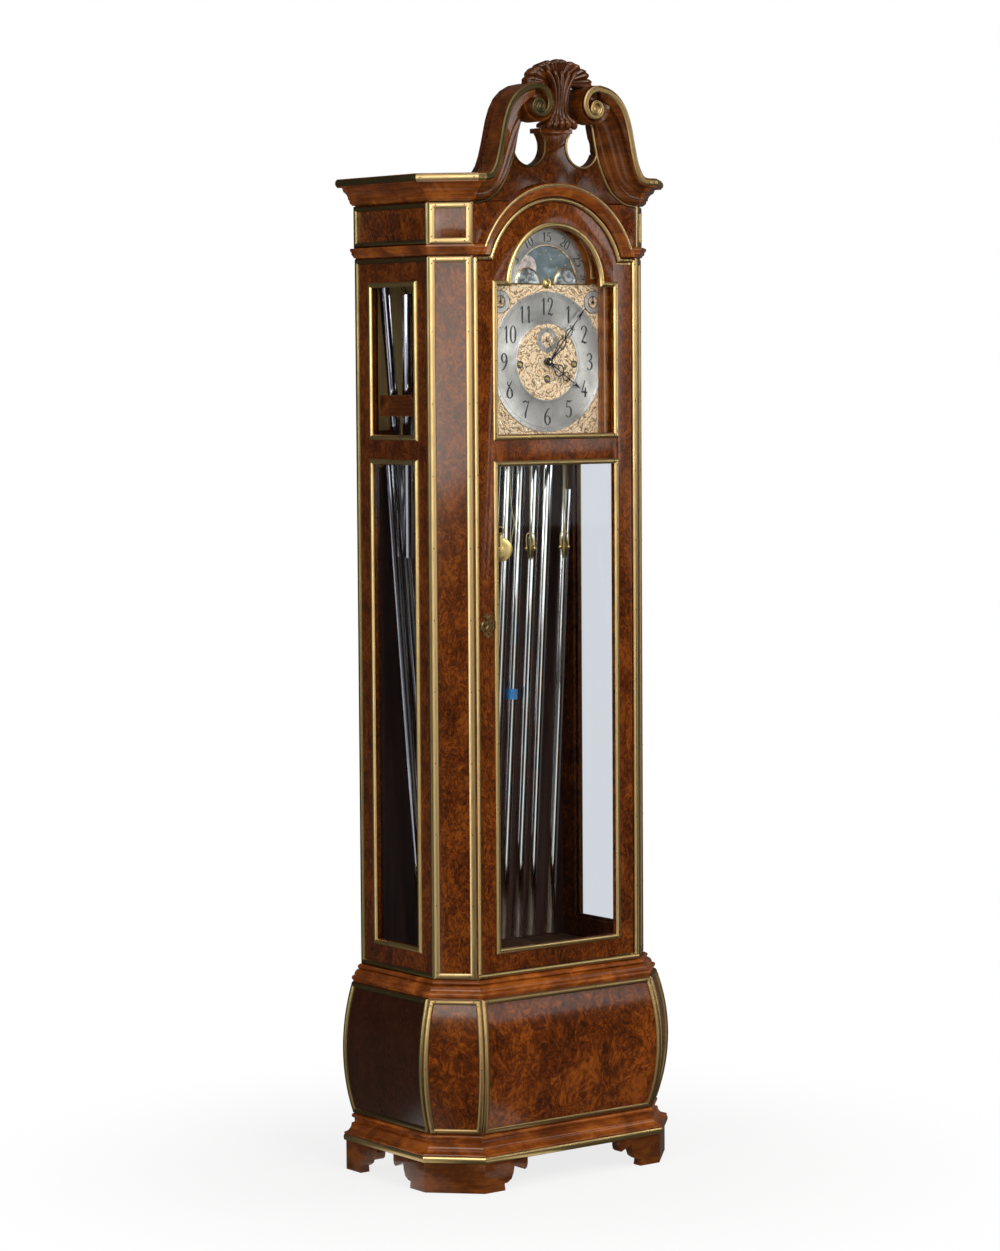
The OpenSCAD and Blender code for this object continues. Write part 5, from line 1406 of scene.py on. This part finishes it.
def corded(bm, path, r, sides=8):
    """A round cord along a path, with its length and its girth on a UV map."""
    uv = bm.loops.layers.uv.get("run") or bm.loops.layers.uv.new("run")
    outline = [(r * math.cos(a), r * math.sin(a)) for a in ring_of(sides)]
    stations = []
    aside = Vector((0.31, 0.95, 0.02))
    for i, point in enumerate(path):
        way = heading(path, i).normalized()
        side = way.cross(aside).normalized()
        aside = side.cross(way).normalized()
        stations.append(station(point, side, aside))
    known = set(bm.faces)
    swept(bm, outline, stations)
    for loop in (loop for face in set(bm.faces) - known for loop in face.loops):
        near = min(range(len(path)), key=lambda k: (path[k] - loop.vert.co).length_squared)
        here = stations[near].inverted() @ loop.vert.co
        loop[uv].uv = (near / len(path), math.atan2(here.y, here.x) / math.tau % 1.0)


class CLOCK_OT_cables(bpy.types.Operator):
    """Run each driving cable from the movement round its pulley and back"""
    bl_idname = "clock.cables"
    bl_label = "Cables"

    def execute(self, context):
        for i, word in enumerate(SIDES):
            bm = bmesh.new()
            corded(bm, cable_path(i), 1.55)
            obj = laid(bm, "stranded_cable_" + word, "cable")
            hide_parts("cable_" + word)
            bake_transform(obj)
        return {"FINISHED"}


class CLOCK_OT_tubes(bpy.types.Operator):
    """Hang the chromed chime tubes, with their caps, their cords and one wound with tape"""
    bl_idname = "clock.tubes"
    bl_label = "Chime tubes"

    def execute(self, context):
        bm, cords, caps = bmesh.new(), bmesh.new(), bmesh.new()
        for foot, top in TUBES:
            way, long = (top - foot).normalized(), (top - foot).length
            place = tube_place(foot, top)
            inner = TUBE_R - 1.2
            turned_on(bm, [(inner, 0.4), (inner + 0.4, 0), (TUBE_R - 0.4, 0), (TUBE_R, 0.4),
                           (TUBE_R, long - 16), (TUBE_R, long - 14), (inner, long - 14),
                           (inner, long - 40)], place, 32)
            turned_on(caps, [(0.05, long - 14), (TUBE_R - 0.4, long - 14), (TUBE_R, long - 14),
                             (TUBE_R, long - 1.5), (TUBE_R - 1.2, long), (TUBE_R - 3, long - 0.4),
                             (4, long - 0.8), (3, long - 3), (0.05, long - 3)], place, 32)
            hook = Vector((max(-252, min(252, top.x)), 300, HOOK_Z))
            if top.z < LOW_HOOK_Z and top.x < -210:
                hook.z = LOW_HOOK_Z
            for k in (-1, 1):
                sway = Vector((k * 4, 0, 0))
                path = smooth_path([top - way * 6 + sway * 0.9, top + way * 2 + sway,
                                    top.lerp(hook, 0.3) + sway * 1.4 - UP * 3,
                                    top.lerp(hook, 0.7) + sway * 0.7 - UP * 2, hook + UP * 3], 4)
                corded(cords, path, 0.9, 6)
            knot = bmesh.ops.create_icosphere(cords, subdivisions=2, radius=3.2)["verts"]
            bmesh.ops.translate(cords, vec=top.lerp(hook, 0.25) - UP * 2, verts=knot)
            bowl(caps, hook + UP * 3 + FRONT * 2, FRONT, 4, 3, 3, 12)
        piece(bm, "chromed_tubes", "chromed_tube", replaces=("chime_tubes",), sharp=50)
        piece(caps, "tube_caps", "chromed_tube", sharp=35)
        piece(cords, "tube_cords", "tan_cord", sharp=60, weld=0.001)
        foot, top = TUBES[TAPED]
        bm = bmesh.new()
        low = (TAPE_Z - foot.z) / (top.z - foot.z) * (top - foot).length
        high = low + TAPE_W
        turned_on(bm, [(TUBE_R + 0.05, low), (TUBE_R + 0.5, low), (TUBE_R + 0.5, high),
                       (TUBE_R + 0.05, high)], tube_place(foot, top), 32)
        piece(bm, "blue_tape", "blue_tape")
        return {"FINISHED"}


# Outer and lower edge of the right swan neck, (across, over the cornice's top)
NECK_OUTER = ((218, 0), (206, 3), (196, 17), (188, 37), (181, 62), (175, 87), (169, 112),
              (160, 137), (148, 158), (130, 175), (108, 186), (84, 191))
NECK_LOWER = ((216, -56), (185, -50), (158, -33), (146, -20), (138, -8), (131, 5), (124, 20),
              (118, 34), (113, 49), (109, 65), (104, 86), (99, 108))
# The scroll at the neck's top, its eye, and the pierced hole under it
SCROLL, SCROLL_R = (75, 150), 40
EYE = (73, 140)
HOLE, HOLE_R = (71, 62), 40
# The pediment board's face, and the shell's foot on its cap
BOARD_Y = 0.8
SHELL_Z = TOP_Z + 100


def wide_station(origin, side, normal, wide, high=1.0):
    """A station that stretches its section."""
    return station(origin, side, normal) @ Matrix.Diagonal((wide, high, 1, 1))


def neck_section():
    """The cornice's section laid across the swan neck: (share of its width, height)."""
    points = [(1 - (v - CORNICE_Z) / 55, u) for u, v in cornice_section()]
    return [(1, -0.5)] + points + [(0, -0.5)]


def neck_edges():
    """Pairs of points on the outer and the lower edge of the right swan neck."""
    outer = smooth_path([(x, z, 0) for x, z in NECK_OUTER], 4)
    lower = smooth_path([(x, z, 0) for x, z in NECK_LOWER], 4)
    return [(Vector((a.x, 0, TOP_Z + a.y)), Vector((b.x, 0, TOP_Z + b.y)))
            for a, b in zip(outer, lower)]


def volute():
    """Centre line of the spiral band from the top of the neck into the eye: (point, width)."""
    made = []
    for t in (i / 64 for i in range(65)):
        a = math.radians(77.6 + 558 * t)
        ease = t ** 0.8
        cx = SCROLL[0] + (EYE[0] - SCROLL[0]) * ease
        cz = SCROLL[1] + (EYE[1] - SCROLL[1]) * ease
        wide = 15 - 8 * t
        r = (SCROLL_R + 2) * (1 - ease) + 8 * ease - wide / 2
        made.append((Vector((cx + r * math.cos(a), 0, TOP_Z + cz + r * math.sin(a))), wide))
    return made


def fascia_line():
    """The brass band's centre line along the neck and round the volute."""
    return [(outer + (lower - outer).normalized() * 8.4, 15)
            for outer, lower in neck_edges()[:-1]] + volute()


def banded(bm, line, front, crown, inset=0.0, sunk=1.0):
    """A band of changing width along a line of (point, width), its face at y = -front."""
    section = [(-0.5, -sunk), (-0.5, 0), (-0.4, crown * 0.7), (-0.2, crown), (0.2, crown),
               (0.4, crown * 0.7), (0.5, 0), (0.5, -sunk)]
    path = [point for point, wide in line]
    swept(bm, section, [wide_station(point + FRONT * front, heading(path, i).normalized().cross(
        FRONT), FRONT, wide - inset) for i, (point, wide) in enumerate(line)])


class CLOCK_OT_pediment(bpy.types.Operator):
    """Build the swan necks with their volutes, and the brass round the pierced holes"""
    bl_idname = "clock.pediment"
    bl_label = "Pediment"

    def execute(self, context):
        bm = bmesh.new()
        edges = neck_edges()
        stations = []
        for outer, lower in edges:
            wide = (lower - outer).length
            stations.append(wide_station(outer, (lower - outer) / wide, FRONT, wide))
        swept(bm, neck_section(), stations)
        scroll = (SCROLL[0], TOP_Z + SCROLL[1])
        eye = (EYE[0], TOP_Z + EYE[1])
        lathe(bm, [(0.05, 1), (0.05, -27), (14, -27), (27, -31), (35, -38), (38, -41), (40, -41),
                   (40.5, -39), (40.5, 1)], scroll, 64)
        banded(bm, volute(), 27, 15.5, -1.0, 4)
        lathe(bm, [(0.05, -20), (0.05, -43), (12.5, -43), (14, -41), (14, -20)], eye, 40)
        mirror_x(bm)
        piece(bm, "swan_neck_mouldings", "neck_walnut", replaces=("swan_necks",), sharp=38)

        line = fascia_line()
        ring = arc(HOLE[0], TOP_Z + HOLE[1], HOLE_R + 2.5, -12, -180, 28)
        ring += [(28.6, TOP_Z + 70), (31, TOP_Z + 79), (36, TOP_Z + 86.5)]
        ring = [(x, BOARD_Y, z) for x, z in ring]
        lower = [b + (b - a).normalized() * 3.4 for a, b in edges]
        lower = [(p.x, BOARD_Y, p.z) for p in lower] + [(94, BOARD_Y, TOP_Z + 114)]
        # The left neck's strips take a far darker brass than the right's, as painted shade
        for word, hand, brass in (("right", 1, "neck_brass"), ("left", -1, "shaded_brass")):
            run = pair()
            bm = run[0]
            banded(bm, line, CORNICE_OUT, 1.8, 1.5)
            for k in range(6, len(line) - 30, 7):
                bowl(bm, line[k][0] + FRONT * (CORNICE_OUT + 1.6), FRONT, 1.9, 0.9, 2, 8)
            lathe(bm, [(0.05, -40), (0.05, -47), (3.0, -47), (5.5, -44.8), (7, -44.6),
                       (9.5, -45.8), (12, -44.4), (12.6, -43), (12.6, -40)], eye, 40)
            strip(run, lower, [FRONT] * len(lower), width=6.0, crown=3.6)
            strip(run, ring, [FRONT] * len(ring), width=5, crown=2.6)
            run[1].free()
            bmesh.ops.scale(bm, vec=(hand, 1, 1), verts=bm.verts)
            piece(bm, "neck_strips_" + word, brass, sharp=40)
        return {"FINISHED"}


def rib(bm, points):
    """A carved rib through (x, y, z, width, height), rounded in section."""
    centre = smooth_path([p[:3] for p in points])
    sizes = smooth_path([(*p[3:], 0) for p in points])
    section = [(0.5 * math.cos(math.pi * i / 8), math.sin(math.pi * i / 8)) for i in range(9)]
    section = [(-0.5, -0.6)] + section[::-1] + [(0.5, -0.6)]
    stations = []
    for i, (point, size) in enumerate(zip(centre, sizes)):
        way = heading(centre, i).normalized()
        side = way.cross(FRONT).normalized()
        stations.append(wide_station(point, side, side.cross(way).normalized(),
                                     max(size.x, 0.4), max(size.y, 0.4)))
    swept(bm, section, stations)


# The shell's fan: its lobes, its reach across and up, and its heart's height over the foot
LOBES = 7
FAN_W, FAN_H, FAN_RISE = 81.0, 48.0, 93.0
# The ribs under the fan: their places across for each step, depth, height over the foot, then
# how wide and how high they are
STEM = ((0, 3, 1, 84, 15), (0, 3, 9, 80, 18), (0, 3, 20, 46, 16), (0, 3, 34, 34, 15),
        (0, 3, 58, 36, 15), (0, 3, 80, 52, 14), (0, 3, 96, 60, 8))
FLUTE = ((17.5, -13, 2, 11, 8), (16.5, -17, 9, 16, 12), (11.5, -13, 20, 12, 9),
         (7.6, -11, 34, 9, 8), (6.8, -12, 56, 8.4, 9), (8.2, -14, 78, 9.6, 10),
         (11.5, -15, 96, 11, 11), (17, -20, 112, 9, 8), (20, -22, 119, 3, 2))
FILLET = ((14.5, -16, 12, 3, 4), (8.2, -14, 32, 2.6, 5), (7.4, -15, 60, 2.6, 5),
          (10, -17, 88, 3, 5), (14, -20, 106, 2, 3))


def fan_point(turn, share):
    """A point of the carved fan: turn from -1 to 1 across it, share from its heart to its rim."""
    place = (turn + 1) / 2 * LOBES
    lobe = abs(math.sin(math.pi * place)) ** 0.7
    groove = math.exp(-(((place % 1.0) - 0.5) / 0.15) ** 2)
    a = math.radians(102 * turn)
    grow = share * (1 + 0.085 * lobe - 0.022 * groove)
    crest = min(share, 0.88)
    y = -8 - 13 * crest ** 1.5 - 9 * crest * lobe + 4.5 * crest * groove
    y += 12 * max(0.0, (share - 0.88) / 0.12) ** 2
    return Vector((FAN_W * grow * math.sin(a), y,
                   SHELL_Z + FAN_RISE + FAN_H * grow * math.cos(a)))


class CLOCK_OT_shell(bpy.types.Operator):
    """Carve the shell: a scalloped fan over a fluted stem with a curling foot"""
    bl_idname = "clock.shell"
    bl_label = "Carved shell"

    def execute(self, context):
        bm = bmesh.new()
        bmesh.ops.create_grid(bm, x_segments=LOBES * 20, y_segments=22, size=1.0)
        for v in bm.verts:
            v.co = fan_point(v.co.x, 0.04 + 0.96 * (v.co.y + 1) / 2)
        edges = [e for e in bm.edges if e.is_boundary]
        grown = bmesh.ops.extrude_edge_only(bm, edges=edges)["geom"]
        heart = SHELL_Z + FAN_RISE
        for v in among(grown, BMVert):
            v.co = Vector((v.co.x * 0.93, 13, heart + (v.co.z - heart) * 0.93))
        bmesh.ops.contextual_create(bm, geom=[e for e in bm.edges if e.is_boundary])
        ribs = [(0, STEM)] + [(k, FLUTE) for k in range(-2, 3)]
        ribs += [(k + 0.5, FILLET) for k in range(-3, 3)]
        for k, course in ribs:
            rib(bm, [(k * x, y, SHELL_Z + z, wide, high) for x, y, z, wide, high in course])
        piece(bm, "carved_shell", "dark_carving", replaces=("shell_carving",), sharp=50)
        return {"FINISHED"}


# The middle of the pierced plate round the keyhole
KEYHOLE = (-187.5, 747.84)


class CLOCK_OT_escutcheon(bpy.types.Operator):
    """Build the pierced escutcheon of scrolls round the keyhole"""
    bl_idname = "clock.escutcheon"
    bl_label = "Escutcheon"

    def execute(self, context):
        softened("escutcheon", "escutcheon_plate", "dark_brass", "door", 0.3)
        bm = bmesh.new()
        place = on_dial(*KEYHOLE, 1.6)
        for s in (-1, 1):
            for k in (-1, 1):
                pen(bm, scroll((k * 8.5, s * 12), 8.5, 90 - 90 * (1 - s) - s * k * 30, s * k, 3.2),
                    place, 2.0)
                pen(bm, scroll((k * 15, s * 3.5), 5.6, s * 60, -s * k, 2.4), place, 1.8)
                pen(bm, [(0, s * 10, 2.0), (k * 5, s * 19, 3.0), (k * 2.5, s * 25, 2.0),
                         (0, s * 28, 0.8)], place, 2.2)
        lathe(bm, [(6.4, 1.8), (6.4, 0.2), (7.6, -0.8), (9.0, 0.2), (9.0, 1.8)],
              (KEYHOLE[0] - 7.5, KEYHOLE[1]), 32)
        piece(bm, "escutcheon_scrolls", "dark_brass", "door", weld=0.002)
        return {"FINISHED"}


class CLOCK_OT_slip(bpy.types.Operator):
    """Line the opening of the dial mask with a polished slip that mirrors the dial"""
    bl_idname = "clock.slip"
    bl_label = "Polished slip"

    def execute(self, context):
        half, low, high = 138.0, DIAL_Z - 152, MOON_Z
        r, z = ARCH_R - 72, ARCH_Z + 20
        outline = [(-half, low), (half, low), (half, high), (r, high)]
        outline += arc(0, z, r, 0, 180, 48) + [(-r, high), (-half, high)]
        points = [Vector((x, 25, z)) for x, z in outline]
        bm = bmesh.new()
        swept(bm, [(0, -8.8), (0, -8.2), (-11, 0.4), (-14.5, 0.4), (-14.5, 0.0)],
              route(points, [FRONT] * len(points), True), True)
        piece(bm, "mirror_slip", "mirror_brass", sharp=30)
        return {"FINISHED"}


# Upright bright bands round the room, which only gloss shows: (angle, half width) in degrees
FLOOR_BANDS = ((-101, 17), (180, 30))
ROOM_BANDS = ((-101, 17), (-126, 8), (180, 30))
PAPER = (1.0, 0.985, 0.965, 1)
WHITE = (1, 1, 1, 1)
# Where the photograph was taken, in metres, and the turns of the camera in degrees
CAMERA_AT = (-4.6817, -6.0926, 1.7313)
CAMERA_TURNS = (37.26, -4.13, -0.38)
CAMERA_LENS = 128.45


def bands(mat, vector, base, places, level):
    """A base level with the bright bands added, by the direction of a vector from the middle."""
    turn = arithmetic(mat, "ARCTAN2", axis(mat, vector, 1), axis(mat, vector, 0))
    for angle, wide in places:
        off = arithmetic(mat, "SUBTRACT", turn, math.radians(angle))
        away = arithmetic(mat, "ARCCOSINE", arithmetic(mat, "COSINE", off))
        edge = math.radians(wide)
        base = arithmetic(mat, "ADD", spread(mat, away, edge * 0.6, edge, level, 0.0), base)
    return base


def seen_directly(mat, path):
    """Whether the camera sees a surface, plainly or through glass."""
    return arithmetic(mat, "MAXIMUM", path.outputs["Is Camera Ray"],
                      path.outputs["Is Transmission Ray"])


class CLOCK_OT_stage(bpy.types.Operator):
    """Lay the pale floor, light it softly and set the camera where the photograph was taken"""
    bl_idname = "clock.stage"
    bl_label = "Floor, light and camera"

    def execute(self, context):
        scene = context.scene
        setup = scene.clock_stage
        bm = bmesh.new()
        bmesh.ops.create_circle(bm, cap_ends=True, segments=96, radius=setup.floor_r)
        mesh = bpy.data.meshes.new("floor")
        bm.to_mesh(mesh)
        bm.free()
        floor = bpy.data.objects.new("floor", mesh)
        scene.collection.objects.link(floor)
        mat = blank("pale_floor")
        matt = add(mat, "BsdfDiffuse", {0: (0.80, 0.80, 0.80, 1)}).outputs[0]
        white = add(mat, "Emission", {0: WHITE, 1: 1.0}).outputs[0]
        coords = position(mat)
        sheet = arithmetic(mat, "MULTIPLY", bands(mat, coords, 0.17, FLOOR_BANDS, 1.6), 0.5)
        dim = add(mat, "Emission", {0: PAPER, 1: sheet}).outputs[0]
        path = add(mat, "LightPath")
        far = add(mat, "MapRange", {0: vectors(mat, "LENGTH", coords), 1: 0.4, 2: 1.3, 3: 0.80,
                                    4: 1.0}, interpolation_type="SMOOTHSTEP").outputs[0]
        share = arithmetic(mat, "MULTIPLY", seen_directly(mat, path), far)
        lit = add(mat, "MixShader", {0: path.outputs["Is Glossy Ray"], 1: matt, 2: dim}).outputs[0]
        shown = add(mat, "MixShader", {0: share, 1: lit, 2: white}).outputs[0]
        add(mat, "OutputMaterial", {0: shown})
        mesh.materials.append(mat)

        world = scene.world = bpy.data.worlds.new("soft_white")
        world.use_nodes = True
        world.node_tree.nodes.clear()
        rays = add(world, "LightPath")
        glossy = bands(world, add(world, "TexCoord").outputs["Generated"], 0.06, ROOM_BANDS, 1.7)
        level = add(world, "Mix", {0: rays.outputs["Is Glossy Ray"], 2: 0.44, 3: glossy}).outputs[0]
        dim = add(world, "Background", {0: PAPER, 1: level}).outputs[0]
        bright = add(world, "Background", {0: WHITE, 1: 1.0}).outputs[0]
        shown = add(world, "MixShader", {0: seen_directly(world, rays), 1: dim,
                                         2: bright}).outputs[0]
        add(world, "OutputWorld", {0: shown})

        for name, at, aim_z, size, power in (
                ("key", (-0.4, -4.6, 3.9), 1.2, 2.4, setup.key_power),
                ("fill", (3.6, -1.9, 2.4), 1.2, 2.0, setup.fill_power),
                ("sheen", (-3.9, -2.9, 3.1), 1.7, 2.1, setup.sheen_power),
                ("left", (-4.0, -1.3, 2.2), 1.5, 1.6, setup.left_power),
                ("dial_sheen", (2.7, -3.6, 1.6), 1.7, 0.8, 5.0),
                ("top", (0.4, -0.6, 4.6), 1.2, 2.0, 22.0)):
            light = bpy.data.lights.new(name, "AREA")
            light.energy, light.size = power, size
            lamp = bpy.data.objects.new(name, light)
            scene.collection.objects.link(lamp)
            lamp.location = at
            way = UP * aim_z - Vector(at)
            lamp.rotation_euler = way.to_track_quat("-Z", "Y").to_euler()
            lamp.visible_diffuse = "sheen" not in name

        yaw, pitch, roll = (math.radians(a) for a in CAMERA_TURNS)
        right = Vector((math.cos(yaw), -math.sin(yaw), 0))
        ahead = Vector((math.sin(yaw) * math.cos(pitch), math.cos(yaw) * math.cos(pitch),
                        math.sin(pitch)))
        up = right.cross(ahead)
        across = right * math.cos(roll) + up * math.sin(roll)
        upward = up * math.cos(roll) - right * math.sin(roll)
        camera = bpy.data.objects.new("camera", bpy.data.cameras.new("camera"))
        scene.collection.objects.link(camera)
        turned = Matrix((across, upward, -ahead)).transposed().to_4x4()
        camera.matrix_world = Matrix.Translation(CAMERA_AT) @ turned
        camera.data.sensor_fit = "HORIZONTAL"
        camera.data.sensor_width = 36
        camera.data.lens = CAMERA_LENS
        camera.data.clip_end = 100
        scene.camera = camera
        scene.view_settings.view_transform = "Standard"
        return {"FINISHED"}


class CLOCK_PT_panel(bpy.types.Panel):
    """Lists the steps that build the clock, with the sizes and colours they read"""
    bl_idname = "CLOCK_PT_panel"
    bl_label = "Longcase Clock"
    bl_space_type = "VIEW_3D"
    bl_region_type = "UI"
    bl_category = "Clock"

    def draw(self, context):
        column = self.layout.column()
        for group in (context.scene.clock_case, context.scene.clock_colours,
                      context.scene.clock_stage):
            for key in group.__annotations__:
                column.prop(group, key)
        for step in STEPS:
            column.operator(step.bl_idname)


SETTINGS = (("clock_case", ClockCase), ("clock_colours", ClockColours),
            ("clock_stage", ClockStage))
STEPS = (CLOCK_OT_mouldings, CLOCK_OT_boards, CLOCK_OT_strips, CLOCK_OT_door, CLOCK_OT_dial,
         CLOCK_OT_moon, CLOCK_OT_hands, CLOCK_OT_movement, CLOCK_OT_cables, CLOCK_OT_tubes,
         CLOCK_OT_pediment, CLOCK_OT_shell, CLOCK_OT_escutcheon, CLOCK_OT_slip, CLOCK_OT_stage)


def register():
    for name, group in SETTINGS:
        bpy.utils.register_class(group)
        setattr(bpy.types.Scene, name, bpy.props.PointerProperty(type=group))
    for step in STEPS:
        bpy.utils.register_class(step)
    bpy.utils.register_class(CLOCK_PT_panel)


def unregister():
    bpy.utils.unregister_class(CLOCK_PT_panel)
    for step in reversed(STEPS):
        bpy.utils.unregister_class(step)
    for name, group in reversed(SETTINGS):
        delattr(bpy.types.Scene, name)
        bpy.utils.unregister_class(group)


def main():
    register()
    for step in STEPS:
        family, name = step.bl_idname.split(".")
        getattr(getattr(bpy.ops, family), name)()


if __name__ == "__main__":
    main()
